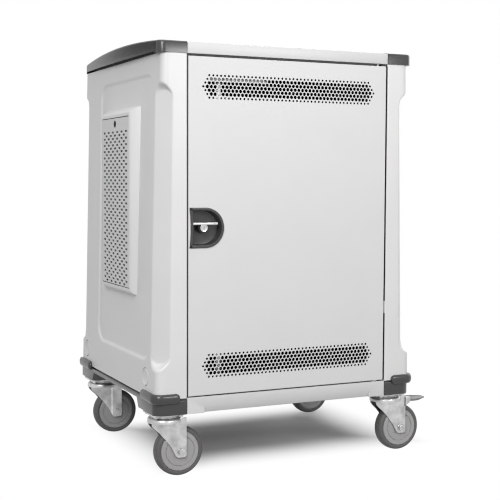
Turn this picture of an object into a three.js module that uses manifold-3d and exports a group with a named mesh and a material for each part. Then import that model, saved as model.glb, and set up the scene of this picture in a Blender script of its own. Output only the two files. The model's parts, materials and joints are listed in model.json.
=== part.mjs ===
// Laptop charging cart: a lockable cabinet on four swivel castors, with racks for laptops behind
// the front door and sockets for their chargers behind the rear door.
// Millimetres. +X is to the right seen from the front, -Y is the front, +Z is up.
// The origin is on the floor, under the middle of the footprint.
import * as THREE from 'three';
import { mergeGeometries, mergeVertices } from 'three/addons/utils/BufferGeometryUtils.js';
import Module from 'manifold-3d';

const wasm = await Module();
wasm.setup();

// Cabinet
const CABINET_DEPTH = 618;
const OPENING_WIDTH = 560; // between the posts
const POST_WIDTH = 63; // a side shell's front face, under the top cap
const SIDE_LEAN = 18; // how much wider a side shell is at its foot
const SHELL_HEIGHT = 830;
const BASE_HEIGHT = 40;
const RAIL_HEIGHT = 27; // of the top panel's front and rear rails
const RAIL_DEPTH = 27; // of the rails above and below both doors
const SHEET = 2; // folded steel of the doors and the top panel
const PLATE = 3; // steel plate of the inner walls, shelf, partition and base pan

// Fits
const SEAT_GAP = 0.3; // between pieces that rest on each other
const RUN_GAP = 0.5; // around a pin that turns or slides
const DOOR_GAP_FREE = 3; // beside the lock
const DOOR_GAP_HINGE = 4.5;
const DOOR_GAP_TOP = 4;
const DOOR_GAP_FOOT = 3;

// Side shells
const CORNER_RADIUS = 18;
const REAR_CORNER_RADIUS = 6;
const SHELL_WALL = 7;
const POST_WALL = 4;
const POST_RETURN = 30; // how far each post turns back beside a door
const SCOOP_POST_LEG = 28; // corner scoop, measured along the front
const SCOOP_SIDE_LEG = 45; // corner scoop, measured along the side
const REAR_SCOOP_LEG = 26;
const SCOOP_FOOT = 66; // shell's foot to the scoop's lower end
const SCOOP_TOP = 68; // scoop's upper end to the shell's top
const FIELD_DEPTH = 3; // shallow field pressed into the side
const FIELD_SLOPE = 8;
const FIELD_RADIUS = 60;
const FIELD_FRONT_MARGIN = 55;
const FIELD_REAR_MARGIN = 140;
const FIELD_FOOT_MARGIN = 84;
const FIELD_TOP_MARGIN = 44;

// Vent covers on the side bosses
const COVER_WIDTH = 222;
const COVER_HEIGHT = 432;
const COVER_FOOT = 255; // shell's foot to the cover's lower edge
const COVER_FORWARD = 20; // cover's centre ahead of the cabinet's middle
const COVER_PLATE = 5;
const COVER_GAP = 2;
const COVER_LEDGE = 4;
const BOSS_PROUD = 24; // boss face past the shell's upper edge
const BOSS_BORDER_SIDE = 5;
const BOSS_BORDER_ENDS = 11;
const BOSS_SLOPE = 15;
const BOSS_RISE = 22;
const BOSS_WALL = 4;
const SLOT_LENGTH = 46;
const SLOT_HEIGHT = 13;
const SLOT_PITCH = 70;
const SLOT_ROW_PITCH = 44;
const SLOT_HEAD_MARGIN = 52; // cover's upper edge to the first row of slots
const COVER_LOCK_RADIUS = 9;
const COVER_LOCK_DROP = 15; // cover's upper edge to its lock
const COVER_LOCK_REACH = 20; // lock's middle to the tongue's tip
const TONGUE_WIDTH = 10;
const TONGUE_PLATE = 3;

// Top caps
const CAP_FRONT_HEIGHT = 28;
const CAP_CROWN_HEIGHT = 41;
const CAP_REAR_HEIGHT = 26;
const CAP_FRONT_OVERHANG = 10; // past the shell at the front
const CAP_REAR_OVERHANG = 2;
const CAP_BULGE = 6; // further out at mid depth
const CAP_LIP = 2; // past the front and rear faces
const CAP_WALL = 5;

// Base
const SILL_OVERHANG = 2;
const SILL_LIP = 2; // past the front and rear faces
const SILL_CORNER_RADIUS = 28;
const SILL_STRIP = 16; // height of a sill between its end blocks
const SILL_FRONT_BLOCK = 124;
const SILL_REAR_BLOCK = 100;
const SILL_BLOCK_SLOPE = 14; // how far each block's inner end leans
const BUMPER_HEIGHT = 20;
const BUMPER_RISE = 13; // above the sill's top
const BUMPER_SIDE_REACH = 9; // past the sill's side
const BUMPER_END_REACH = 10; // past the front and rear faces
const BUMPER_END_LEG = 72; // along the front or rear
const BUMPER_SIDE_LEG = 105;
const BUMPER_FRONT_CHAMFER = 13; // inside the front corner
const BUMPER_ROUND = 4;
const TOE_STRIP_HEIGHT = 18; // sloping strip low on the front base rail
const TOE_STRIP_DEPTH = 9;
const TOE_STRIP_MARGIN = 46;
const RAIL_WALL = 16;

// Doors
const DOOR_DEPTH = 22;
const HINGE_INSET = 21.5; // door edge to the hinge axis
const HINGE_SETBACK = 10; // door face to the hinge axis
const HINGE_PIN_RADIUS = 4;
const HINGE_COLLAR_RADIUS = 7;
const HINGE_PIN_ENGAGE = 14;
const VENT_HOLE_RADIUS = 11; // middle to flat of each six-sided hole
const VENT_HOLE_SIDES = 6;
const VENT_HOLE_PITCH = 60;
const VENT_ROW_PITCH = 24;
const VENT_MARGIN = 37; // door edge to the vent's middle row
const UPPER_VENT_DROP = 75; // door's top to the vent's middle row
const LOWER_VENT_RISE = 67; // door's foot to the vent's middle row
const REAR_SLOT_LENGTH = 90;
const REAR_SLOT_HEIGHT = 12;
const REAR_SLOT_PITCH = 130;

// Front door lock
const LOCK_INSET = 41; // door edge to the lock's axis
const LOCK_RISE = 410; // door's foot to the lock's axis
const CUP_RADIUS = 49;
const CUP_ROUND_OFFSET = 3; // lock's axis to the middle of the cup's round
const CUP_EDGE = 0; // door edge to the cup's straight side
const CUP_RIM = 4;
const CUP_WALL = 3;
const CUP_PROUD = 2;
const CUP_DEPTH = 22; // from the door's face to the cup's floor
const HANDLE_LENGTH = 66;
const HANDLE_BAR_OFFSET = 3; // lock's axis to the bar's middle, sideways
const HANDLE_BAR = 6;
const HANDLE_BAR_DEPTH = 12;
const HANDLE_BAR_RISE = 10; // lock's axis to the bar's middle, upwards
const HANDLE_HUB_RADIUS = 14;
const HANDLE_HUB_DEPTH = 17;
const SPINDLE_RADIUS = 7;
const KEY_RADIUS = 10;
const KEY_DEPTH = 13;
const KEY_PROUD = 1;
const CAM_RADIUS = 18;
const CAM_PLATE = 3;
const CRANK_PIN_RADIUS = 2.5;
const ROD_OFFSET = 50; // lock's axis to the rods
const ROD_WIDTH = 12;
const ROD_PLATE = 3;
const ROD_TRAVEL = 18; // as the handle turns a quarter
const ROD_TIP_CLEARANCE = 4; // rod tip inside the door's edge when unlocked
const ROD_HEAD = 14;
const ROD_ELBOW = 26; // lock's axis to the lower rod's elbow
const GUIDE_FROM_END = 115; // door's top or foot to the middle of each rod guide
const GUIDE_HEIGHT = 16;
const GUIDE_WALL = 7;

// Rear door lock
const REAR_LOCK_RADIUS = 9;
const REAR_LOCK_INSET = 25;
const REAR_TONGUE_REACH = 38;

// Inside
const INNER_INSET = 3; // post edge to the inner wall
const INNER_END_MARGIN = 40; // inner walls stop this far from the front and rear faces
const PARTITION_FROM_FRONT = 455;
const SHELF_RISE = 410; // base pan to the shelf
const SHELF_SETBACK = 50; // front face to the shelf's lip
const SHELF_LIP = 20;
const CABLE_WINDOW_HEIGHT = 60;
const CABLE_WINDOW_WIDTH = 200;
const CABLE_WINDOW_RISE = 220; // rack floor to the cable window's foot
const BAYS = 10;
const RACK_FLOOR = 4;
const RACK_FIN = 4;
const RACK_FIN_HEIGHT = 160;
const RACK_SETBACK = 75; // front face to the racks
const RACK_SIDE_MARGIN = 6;
const RACK_REAR_MARGIN = 25;
const STRIP_WIDTH = 480;
const STRIP_HEIGHT = 46;
const STRIP_DEPTH = 40;
const STRIP_RISE = 120; // rack floor to the power strip's foot
const SOCKET_RADIUS = 17;
const SOCKET_PROUD = 2;
const SOCKET_SIDES = 8;
const INLET_WIDTH = 30;
const INLET_HEIGHT = 22;
const INLET_DEPTH = 20;
const INLET_WALL = 3;
const INLET_FLANGE = 5;
const INLET_OFFSET = 150; // cabinet's middle to the inlet

// Castors
const WHEEL_RADIUS = 62.5;
const WHEEL_SIDES = 20;
const TYRE_WIDTH = 32;
const TYRE_SHOULDER = 7;
const HUB_RADIUS = 45;
const HUB_FACE_STEP = 3;
const HUB_CAP_RADIUS = 30;
const HUB_WIDTH = 38;
const BEARING_RADIUS = 12;
const AXLE_RADIUS = 5;
const AXLE_HEAD_RADIUS = 9;
const AXLE_HEAD = 5;
const TRAIL = 36; // swivel axis to the wheel's axle
const CASTOR_HEIGHT = 162; // floor to the base
const CASTOR_INSET_SIDE = 42; // shell's foot to the swivel axis
const CASTOR_INSET_END = 56; // front or rear face to the swivel axis
const CASTOR_PLATE_LENGTH = 84;
const CASTOR_PLATE_WIDTH = 85;
const CASTOR_PLATE = 4;
const RACE_RADIUS = 32;
const RACE_HEIGHT = 7;
const KING_PIN_RADIUS = 6;
const KING_PIN_HEAD_RADIUS = 10;
const KING_PIN_HEAD = 4;
const CROWN_RADIUS = 38;
const CROWN_PLATE = 6;
const FORK_INSIDE = 42;
const FORK_PLATE = 3.5;
const FORK_FOOT_RADIUS = 14;
const FORK_HEEL = 30; // swivel axis to the back of the fork's legs
const BRAKE_EAR = 30; // axle to the end of the brake's ears
const BRAKE_EAR_HEIGHT = 26;
const BRAKE_PIVOT_FROM_AXLE = 20;
const BRAKE_PIVOT_DROP = 9; // crown to the pedal's pivot
const BRAKE_PIVOT_RADIUS = 3;
const PEDAL_REACH = 121; // swivel axis to the pedal's tip
const PEDAL_WIDTH = 34;
const PEDAL_PLATE = 7;
const PEDAL_HEEL = 10; // pivot to the pedal's inner end
const PEDAL_RISE = 3; // tip above the pivot

// Levels and half widths that follow from the sizes above
const BASE_Z = CASTOR_HEIGHT;
const SHELL_Z = BASE_Z + BASE_HEIGHT;
const CAP_Z = SHELL_Z + SHELL_HEIGHT;
const FRONT = -CABINET_DEPTH / 2;
const REAR = CABINET_DEPTH / 2;
const OPENING = OPENING_WIDTH / 2;
const TOP_HALF = OPENING + POST_WIDTH;
const FOOT_HALF = TOP_HALF + SIDE_LEAN;
const BOSS_X = TOP_HALF + BOSS_PROUD;
const SILL_HALF = FOOT_HALF + SILL_OVERHANG;
const BUMPER_HALF = SILL_HALF + BUMPER_SIDE_REACH;
const CASTOR_X = FOOT_HALF - CASTOR_INSET_SIDE;
const CASTOR_Y = REAR - CASTOR_INSET_END;
const DOOR_FOOT_Z = SHELL_Z + DOOR_GAP_FOOT;
const DOOR_TOP_Z = CAP_Z - DOOR_GAP_TOP;
const INNER_HALF = OPENING - INNER_INSET;
const RACK_HALF = INNER_HALF - PLATE - RACK_SIDE_MARGIN;
const PARTITION_Y = FRONT + PARTITION_FROM_FRONT;
const PAN_TOP_Z = SHELL_Z - PLATE;
const SHELF_TOP_Z = PAN_TOP_Z + SHELF_RISE;
const TOP_SHEET_Z = CAP_Z + RAIL_HEIGHT - SHEET;
// The castors trail to the right and two of them carry pedals, so the footprint's middle lies
// to the right of the cabinet's middle.
const FOOTPRINT_SHIFT = (CASTOR_X + PEDAL_REACH - BUMPER_HALF) / 2;

const BEYOND = 60; // how far a cutting tool runs past the piece it cuts
const NICK = 1; // the same where something lies close behind
const WELD = 1e-4;
const ROUND_SIDES = 12;
const QUARTER = Math.PI / 2;

function finish(color, roughness, metalness) {
  return new THREE.MeshStandardMaterial({ color, roughness, metalness });
}

const WHITE_MOULDING = finish(0xe6e6e4, 0.5, 0);
const WHITE_PAINT = finish(0xe4e4e3, 0.4, 0);
const TRIM_GREY = finish(0x5d5b59, 0.6, 0);
const INNER_PAINT = finish(0xc9cac9, 0.5, 0);
const ZINC = finish(0xc4c6c6, 0.35, 0.9);
const CHROME = finish(0xdcdddd, 0.12, 1);
const TYRE_GREY = finish(0x6c6a67, 0.8, 0);
const HUB_GREY = finish(0xa7a6a3, 0.55, 0);
const PEDAL_GREY = finish(0x807f7d, 0.6, 0);
const LOCK_BLACK = finish(0x161616, 0.4, 0.2);
const RACK_BLACK = finish(0x2b2b2c, 0.6, 0);

// Solids

// The geometry with its corners alone, equal corners merged and collapsed triangles left out.
function weld(geometry) {
  const bare = geometry.index ? geometry.toNonIndexed() : geometry.clone();
  bare.deleteAttribute('normal');
  bare.deleteAttribute('uv');
  const merged = mergeVertices(bare, WELD);
  const corners = merged.index.array;
  const kept = [];
  for (let i = 0; i < corners.length; i += 3) {
    const [a, b, c] = [corners[i], corners[i + 1], corners[i + 2]];
    if (a !== b && b !== c && c !== a) kept.push(a, b, c);
  }
  merged.setIndex(kept);
  return merged;
}

function toSolid(geometry) {
  const welded = weld(geometry);
  const vertProperties = welded.attributes.position.array;
  const triVerts = new Uint32Array(welded.index.array);
  return new wasm.Manifold(new wasm.Mesh({ numProp: 3, vertProperties, triVerts }));
}

function toGeometry(solid) {
  const { vertProperties, triVerts } = solid.getMesh();
  const geometry = new THREE.BufferGeometry();
  geometry.setAttribute('position', new THREE.BufferAttribute(vertProperties, 3));
  geometry.setIndex(new THREE.BufferAttribute(triVerts, 1));
  return geometry;
}

function cut(geometry, ...tools) {
  const left = tools.reduce((solid, tool) => solid.subtract(toSolid(tool)), toSolid(geometry));
  return toGeometry(left);
}

function join(geometry, ...others) {
  const whole = others.reduce((solid, other) => solid.add(toSolid(other)), toSolid(geometry));
  return toGeometry(whole);
}

function common(geometry, other) {
  return toGeometry(toSolid(geometry).intersect(toSolid(other)));
}

function block([x0, x1], [y0, y1], [z0, z1]) {
  const geometry = new THREE.BoxGeometry(x1 - x0, y1 - y0, z1 - z0);
  return geometry.translate((x0 + x1) / 2, (y0 + y1) / 2, (z0 + z1) / 2);
}

function prism(shape, depth, bevel) {
  const rounded = { bevelEnabled: true, bevelSegments: 1, ...bevel };
  const options = bevel ? rounded : { bevelEnabled: false };
  return new THREE.ExtrudeGeometry(shape, { depth, curveSegments: 4, ...options });
}

// A plan outline, drawn in X and Y, raised from z0 to z1.
function prismZ(shape, [z0, z1], bevel) {
  return prism(shape, z1 - z0, bevel).translate(0, 0, z0);
}

const OUTLINE_YZ = new THREE.Matrix4().makeBasis(
  new THREE.Vector3(0, 1, 0),
  new THREE.Vector3(0, 0, 1),
  new THREE.Vector3(1, 0, 0),
);
const OUTLINE_XZ = new THREE.Matrix4().makeBasis(
  new THREE.Vector3(1, 0, 0),
  new THREE.Vector3(0, 0, 1),
  new THREE.Vector3(0, -1, 0),
);

// A side outline, drawn in Y and Z, run from x0 to x1.
function prismX(shape, [x0, x1], bevel) {
  return prism(shape, x1 - x0, bevel).applyMatrix4(OUTLINE_YZ).translate(x0, 0, 0);
}

// A front outline, drawn in X and Z, run from y0 to y1.
function prismY(shape, [y0, y1], bevel) {
  return prism(shape, y1 - y0, bevel).applyMatrix4(OUTLINE_XZ).translate(0, y1, 0);
}

function polygon(points) {
  return new THREE.Shape(points.map(([a, b]) => new THREE.Vector2(a, b)));
}

function rectangle([a0, a1], [b0, b1]) {
  return polygon([[a0, b0], [a1, b0], [a1, b1], [a0, b1]]);
}

function roundedRectangle([a0, a1], [b0, b1], radius) {
  const shape = new THREE.Shape();
  shape.absarc(a1 - radius, b0 + radius, radius, -QUARTER, 0, false);
  shape.absarc(a1 - radius, b1 - radius, radius, 0, QUARTER, false);
  shape.absarc(a0 + radius, b1 - radius, radius, QUARTER, 2 * QUARTER, false);
  shape.absarc(a0 + radius, b0 + radius, radius, 2 * QUARTER, 3 * QUARTER, false);
  return shape;
}

// A profile of radius and height, turned about Y. Its flats face up and down and lie at the radius.
function turnedY(profile, sides = ROUND_SIDES) {
  const reach = 1 / Math.cos(Math.PI / sides);
  const points = profile.map(([radius, y]) => new THREE.Vector2(radius * reach, y));
  return new THREE.LatheGeometry(points, sides, Math.PI / sides);
}

function turnedZ(profile, sides = ROUND_SIDES) {
  return turnedY(profile, sides).rotateX(QUARTER);
}

function turnedX(profile, sides = ROUND_SIDES) {
  return turnedY(profile, sides).rotateZ(-QUARTER);
}

function rod(radius, [from, to]) {
  return [[0, from], [radius, from], [radius, to], [0, to]];
}

function add(group, name, geometry, material) {
  const mesh = new THREE.Mesh(geometry, material);
  mesh.name = name;
  group.add(mesh);
}

// Side shells, modelled on the right and mirrored to the left

// The sides spread towards the foot, and everything outside the opening leans out in proportion.
function lean(geometry) {
  const places = geometry.attributes.position;
  for (let i = 0; i < places.count; i += 1) {
    const x = places.getX(i);
    const low = (CAP_Z - places.getZ(i)) / SHELL_HEIGHT;
    const out = (x - OPENING) / POST_WIDTH;
    places.setX(i, x + SIDE_LEAN * low * Math.max(out, 0));
  }
  return geometry;
}

// The plan of a piece from the opening out to one side, with a tighter round at its rear corner.
function sidePlan(edge, [front, rear], radius) {
  const tight = REAR_CORNER_RADIUS;
  const shape = new THREE.Shape();
  shape.moveTo(OPENING, rear);
  shape.lineTo(OPENING, front);
  shape.absarc(edge - radius, front + radius, radius, -QUARTER, 0, false);
  shape.absarc(edge - tight, rear - tight, tight, 0, QUARTER, false);
  return shape;
}

function shellPlan() {
  return sidePlan(TOP_HALF, [FRONT, REAR], CORNER_RADIUS);
}

// The space inside a shell, chamfered where the corner scoops come in.
function hollowPlan() {
  const outer = TOP_HALF - SHELL_WALL;
  const end = REAR - POST_WALL;
  return polygon([
    [OPENING + POST_WALL, -end],
    [TOP_HALF - SCOOP_POST_LEG - POST_WALL, -end],
    [outer, FRONT + SCOOP_SIDE_LEG],
    [outer, REAR - REAR_SCOOP_LEG],
    [TOP_HALF - REAR_SCOOP_LEG - POST_WALL, end],
    [OPENING + POST_WALL, end],
  ]);
}

// A flat facet with arched ends across a corner, from one plan point to another.
function cornerScoop([x0, y0], [x1, y1]) {
  const along = new THREE.Vector3(x1 - x0, y1 - y0, 0);
  const half = along.length() / 2;
  along.normalize();
  const up = new THREE.Vector3(0, 0, 1);
  const outward = new THREE.Vector3().crossVectors(along, up);
  const z0 = SHELL_Z + SCOOP_FOOT + half;
  const z1 = CAP_Z - SCOOP_TOP - half;
  const arch = new THREE.Shape();
  arch.absarc(0, z0, half, 2 * QUARTER, 4 * QUARTER, false);
  arch.absarc(0, z1, half, 0, 2 * QUARTER, false);
  const place = new THREE.Matrix4().makeBasis(along, up, outward);
  place.setPosition((x0 + x1) / 2, (y0 + y1) / 2, 0);
  return lean(prism(arch, BEYOND).applyMatrix4(place));
}

function sideField() {
  const across = [FRONT + FIELD_FRONT_MARGIN, REAR - FIELD_REAR_MARGIN];
  const height = [SHELL_Z + FIELD_FOOT_MARGIN, CAP_Z - FIELD_TOP_MARGIN];
  const outline = roundedRectangle(across, height, FIELD_RADIUS);
  const slope = { bevelThickness: FIELD_DEPTH, bevelSize: FIELD_SLOPE };
  return lean(prismX(outline, [TOP_HALF, TOP_HALF + BEYOND], slope));
}

const COVER_Y = [-COVER_FORWARD - COVER_WIDTH / 2, -COVER_FORWARD + COVER_WIDTH / 2];
const COVER_Z = [SHELL_Z + COVER_FOOT, SHELL_Z + COVER_FOOT + COVER_HEIGHT];
const COVER_SEAT_X = BOSS_X - COVER_PLATE - SEAT_GAP;
const BOSS_INSIDE_X = COVER_SEAT_X - BOSS_WALL;

function grown([low, high], margin) {
  return [low - margin, high + margin];
}

function sideBoss() {
  const across = grown(COVER_Y, BOSS_BORDER_SIDE);
  const height = grown(COVER_Z, BOSS_BORDER_ENDS);
  const slope = { bevelThickness: BOSS_RISE, bevelSize: BOSS_SLOPE };
  const root = TOP_HALF - SHELL_WALL;
  return prismX(rectangle(across, height), [root, BOSS_X - BOSS_RISE], slope);
}

function sideShell() {
  const body = lean(prismZ(shellPlan(), [SHELL_Z, CAP_Z - SEAT_GAP]));
  const frontScoop = cornerScoop(
    [TOP_HALF - SCOOP_POST_LEG, FRONT],
    [TOP_HALF, FRONT + SCOOP_SIDE_LEG],
  );
  const rearScoop = cornerScoop(
    [TOP_HALF, REAR - REAR_SCOOP_LEG],
    [TOP_HALF - REAR_SCOOP_LEG, REAR],
  );
  const dressed = join(cut(body, frontScoop, rearScoop, sideField()), sideBoss());
  const through = [SHELL_Z - BEYOND, CAP_Z + BEYOND];
  const hollow = lean(prismZ(hollowPlan(), through));
  const mouth = block(
    [OPENING - BEYOND, OPENING + 2 * POST_WALL],
    [FRONT + POST_RETURN, REAR - POST_RETURN],
    through,
  );
  const bossHollow = block(
    [OPENING + POST_WALL, BOSS_INSIDE_X],
    grown(COVER_Y, BOSS_BORDER_SIDE - BOSS_WALL),
    grown(COVER_Z, BOSS_BORDER_ENDS - BOSS_WALL),
  );
  const pocket = block(
    [COVER_SEAT_X, BOSS_X + BEYOND],
    grown(COVER_Y, COVER_GAP),
    grown(COVER_Z, COVER_GAP),
  );
  const hatch = block(
    [BOSS_INSIDE_X - BEYOND, BOSS_X + BEYOND],
    grown(COVER_Y, -COVER_LEDGE),
    [COVER_Z[0] - COVER_GAP, COVER_Z[1] - COVER_LEDGE],
  );
  return cut(dressed, hollow, mouth, bossHollow, pocket, hatch);
}

const LOCK_Y = -COVER_FORWARD;
const LOCK_Z = COVER_Z[1] - COVER_LOCK_DROP;

function ventCover() {
  const plate = block([BOSS_X - COVER_PLATE, BOSS_X], COVER_Y, COVER_Z);
  const through = [BOSS_X - BEYOND, BOSS_X + BEYOND];
  const rows = Math.floor((COVER_HEIGHT - SLOT_HEAD_MARGIN - SLOT_HEIGHT) / SLOT_ROW_PITCH) + 1;
  const most = Math.floor(COVER_WIDTH / SLOT_PITCH);
  const slots = [];
  for (let row = 0; row < rows; row += 1) {
    const count = row % 2 ? most - 1 : most;
    const z = COVER_Z[1] - SLOT_HEAD_MARGIN - row * SLOT_ROW_PITCH;
    for (let i = 0; i < count; i += 1) {
      const y = LOCK_Y + (i - (count - 1) / 2) * SLOT_PITCH;
      const across = [y - SLOT_LENGTH / 2, y + SLOT_LENGTH / 2];
      slots.push(block(through, across, [z - SLOT_HEIGHT / 2, z + SLOT_HEIGHT / 2]));
    }
  }
  const lockHole = turnedX(rod(COVER_LOCK_RADIUS + RUN_GAP, through));
  lockHole.translate(0, LOCK_Y, LOCK_Z);
  return cut(plate, mergeGeometries(slots), lockHole);
}

// A key lock whose tongue lies flat when it is open and stands behind the boss when it is locked.
function coverLock() {
  const tongueX = BOSS_INSIDE_X - TONGUE_PLATE - RUN_GAP;
  const barrel = turnedX(rod(COVER_LOCK_RADIUS, [tongueX, BOSS_X]));
  barrel.translate(0, LOCK_Y, LOCK_Z);
  const tongue = block(
    [tongueX, tongueX + TONGUE_PLATE],
    [LOCK_Y, LOCK_Y + COVER_LOCK_REACH],
    [LOCK_Z - TONGUE_WIDTH / 2, LOCK_Z + TONGUE_WIDTH / 2],
  );
  return join(barrel, tongue);
}

function topCap() {
  const edge = TOP_HALF + CAP_FRONT_OVERHANG;
  const rearEdge = TOP_HALF + CAP_REAR_OVERHANG;
  const middle = (edge + rearEdge) / 2 + 2 * CAP_BULGE;
  const end = REAR + CAP_LIP;
  const radius = CORNER_RADIUS;
  const plan = new THREE.Shape();
  plan.moveTo(OPENING, end);
  plan.lineTo(OPENING, -end);
  plan.absarc(edge - radius, -end + radius, radius, -QUARTER, 0, false);
  plan.quadraticCurveTo(middle, 0, rearEdge, end - radius);
  plan.absarc(rearEdge - radius, end - radius, radius, 0, QUARTER, false);
  const side = new THREE.Shape();
  const control = 2 * CAP_CROWN_HEIGHT - (CAP_FRONT_HEIGHT + CAP_REAR_HEIGHT) / 2;
  side.moveTo(-end - NICK, CAP_Z);
  side.lineTo(end + NICK, CAP_Z);
  side.lineTo(end + NICK, CAP_Z + CAP_REAR_HEIGHT);
  side.quadraticCurveTo(0, CAP_Z + control, -end - NICK, CAP_Z + CAP_FRONT_HEIGHT);
  const reach = [OPENING - BEYOND, edge + BEYOND];
  const solid = common(prismZ(plan, [CAP_Z - BEYOND, CAP_Z + BEYOND]), prismX(side, reach));
  const hollow = block(
    [OPENING + CAP_WALL, TOP_HALF - CAP_WALL],
    [FRONT + CAP_WALL, REAR - CAP_WALL],
    [CAP_Z - BEYOND, CAP_Z + Math.min(CAP_FRONT_HEIGHT, CAP_REAR_HEIGHT) - CAP_WALL],
  );
  return cut(solid, hollow);
}

// Base

// The L-shaped bumper round one corner of a sill, just outside the shell.
function cornerBumper(side) {
  const inner = FOOT_HALF + SEAT_GAP;
  const outer = BUMPER_HALF - BUMPER_ROUND;
  const end = REAR + BUMPER_END_REACH - BUMPER_ROUND;
  const start = BUMPER_HALF - BUMPER_END_LEG + BUMPER_ROUND;
  const tail = REAR + BUMPER_END_REACH - BUMPER_SIDE_LEG + BUMPER_ROUND;
  const leg = REAR + SEAT_GAP + BUMPER_ROUND;
  const flank = inner + BUMPER_ROUND;
  const radius = (side > 0 ? CORNER_RADIUS : SILL_CORNER_RADIUS) - BUMPER_ROUND;
  const chamfer = side > 0 ? REAR_CORNER_RADIUS : BUMPER_FRONT_CHAMFER;
  const shape = new THREE.Shape();
  shape.moveTo(start, side * end);
  shape.lineTo(start, side * leg);
  shape.lineTo(flank - chamfer, side * leg);
  shape.lineTo(flank, side * (leg - chamfer));
  shape.lineTo(flank, side * tail);
  shape.lineTo(outer, side * tail);
  const from = side > 0 ? 0 : 4 * QUARTER;
  const centre = [outer - radius, side * (end - radius)];
  shape.absarc(...centre, radius, from, side > 0 ? QUARTER : 3 * QUARTER, side < 0);
  const z1 = SHELL_Z + BUMPER_RISE - BUMPER_ROUND;
  const z0 = SHELL_Z + BUMPER_RISE - BUMPER_HEIGHT + BUMPER_ROUND;
  return prismZ(shape, [z0, z1], { bevelThickness: BUMPER_ROUND, bevelSize: BUMPER_ROUND });
}

// A strip under the shell, with a full-height block at each end for a castor.
function baseSill() {
  const plan = sidePlan(SILL_HALF, [FRONT - SILL_LIP, REAR + SILL_LIP], SILL_CORNER_RADIUS);
  const bar = prismZ(plan, [BASE_Z, SHELL_Z - SEAT_GAP]);
  const front = FRONT + SILL_FRONT_BLOCK;
  const rear = REAR - SILL_REAR_BLOCK;
  const strip = SHELL_Z - SILL_STRIP;
  const arch = polygon([
    [front, BASE_Z - BEYOND],
    [rear, BASE_Z - BEYOND],
    [rear, BASE_Z],
    [rear - SILL_BLOCK_SLOPE, strip],
    [front + SILL_BLOCK_SLOPE, strip],
    [front, BASE_Z],
  ]);
  const space = prismX(arch, [OPENING - BEYOND, SILL_HALF + BEYOND]);
  return join(cut(bar, space), cornerBumper(-1), cornerBumper(1));
}

function baseRail(near, far) {
  const half = OPENING - SEAT_GAP;
  const inwards = Math.sign(far - near);
  const bar = block([-half, half], [Math.min(near, far), Math.max(near, far)], [BASE_Z, SHELL_Z]);
  const wall = near + inwards * RAIL_WALL;
  const back = far + inwards * BEYOND;
  const channel = block(
    [-half + RAIL_WALL, half - RAIL_WALL],
    [Math.min(wall, back), Math.max(wall, back)],
    [BASE_Z - BEYOND, SHELL_Z - PLATE],
  );
  return cut(bar, channel);
}

function frontBaseRail() {
  const half = OPENING - TOE_STRIP_MARGIN;
  const slope = polygon([
    [FRONT - BEYOND, BASE_Z - BEYOND],
    [FRONT + TOE_STRIP_DEPTH, BASE_Z - BEYOND],
    [FRONT + TOE_STRIP_DEPTH, BASE_Z],
    [FRONT, BASE_Z + TOE_STRIP_HEIGHT],
    [FRONT - BEYOND, BASE_Z + TOE_STRIP_HEIGHT],
  ]);
  const bar = baseRail(FRONT, FRONT + RAIL_DEPTH);
  return cut(bar, prismX(slope, [-half, half]), pinHole(FRONT_HINGE, SILL_BORE));
}

const INLET_Z = BASE_Z + BASE_HEIGHT / 2;

function inletBlock(margin, depth) {
  return block(
    grown([-INLET_OFFSET - INLET_WIDTH / 2, -INLET_OFFSET + INLET_WIDTH / 2], margin),
    depth,
    grown([INLET_Z - INLET_HEIGHT / 2, INLET_Z + INLET_HEIGHT / 2], margin),
  );
}

function rearBaseRail() {
  const hole = inletBlock(SEAT_GAP, [REAR - BEYOND, REAR + BEYOND]);
  return cut(baseRail(REAR, REAR - RAIL_DEPTH), hole, pinHole(REAR_HINGE, SILL_BORE));
}

function mainsInlet() {
  const body = inletBlock(0, [REAR - INLET_DEPTH, REAR + SEAT_GAP + INLET_WALL]);
  const flange = inletBlock(INLET_FLANGE, [REAR + SEAT_GAP, REAR + SEAT_GAP + INLET_WALL]);
  const socket = inletBlock(-INLET_WALL, [REAR - INLET_DEPTH + INLET_WALL, REAR + BEYOND]);
  return cut(join(body, flange), socket);
}

function basePan() {
  const half = OPENING - SEAT_GAP;
  const ends = [FRONT + INNER_END_MARGIN, REAR - INNER_END_MARGIN];
  const pan = block([-half, half], ends, [BASE_Z, PAN_TOP_Z]);
  const under = block(
    [-half + PLATE, half - PLATE],
    grown(ends, BEYOND),
    [BASE_Z - BEYOND, PAN_TOP_Z - PLATE],
  );
  return cut(pan, under);
}

function topPanel() {
  const half = OPENING - SEAT_GAP;
  const top = CAP_Z + RAIL_HEIGHT;
  const lip = REAR - RAIL_DEPTH;
  const profile = polygon([
    [FRONT, CAP_Z],
    [-lip, CAP_Z],
    [-lip, CAP_Z + SHEET],
    [FRONT + SHEET, CAP_Z + SHEET],
    [FRONT + SHEET, TOP_SHEET_Z],
    [REAR - SHEET, TOP_SHEET_Z],
    [REAR - SHEET, CAP_Z + SHEET],
    [lip, CAP_Z + SHEET],
    [lip, CAP_Z],
    [REAR, CAP_Z],
    [REAR, top],
    [FRONT, top],
  ]);
  const panel = prismX(profile, [-half, half]);
  const bore = grown([CAP_Z, CAP_Z + SHEET], NICK);
  return cut(panel, pinHole(FRONT_HINGE, bore), pinHole(REAR_HINGE, bore));
}

// Doors

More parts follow.
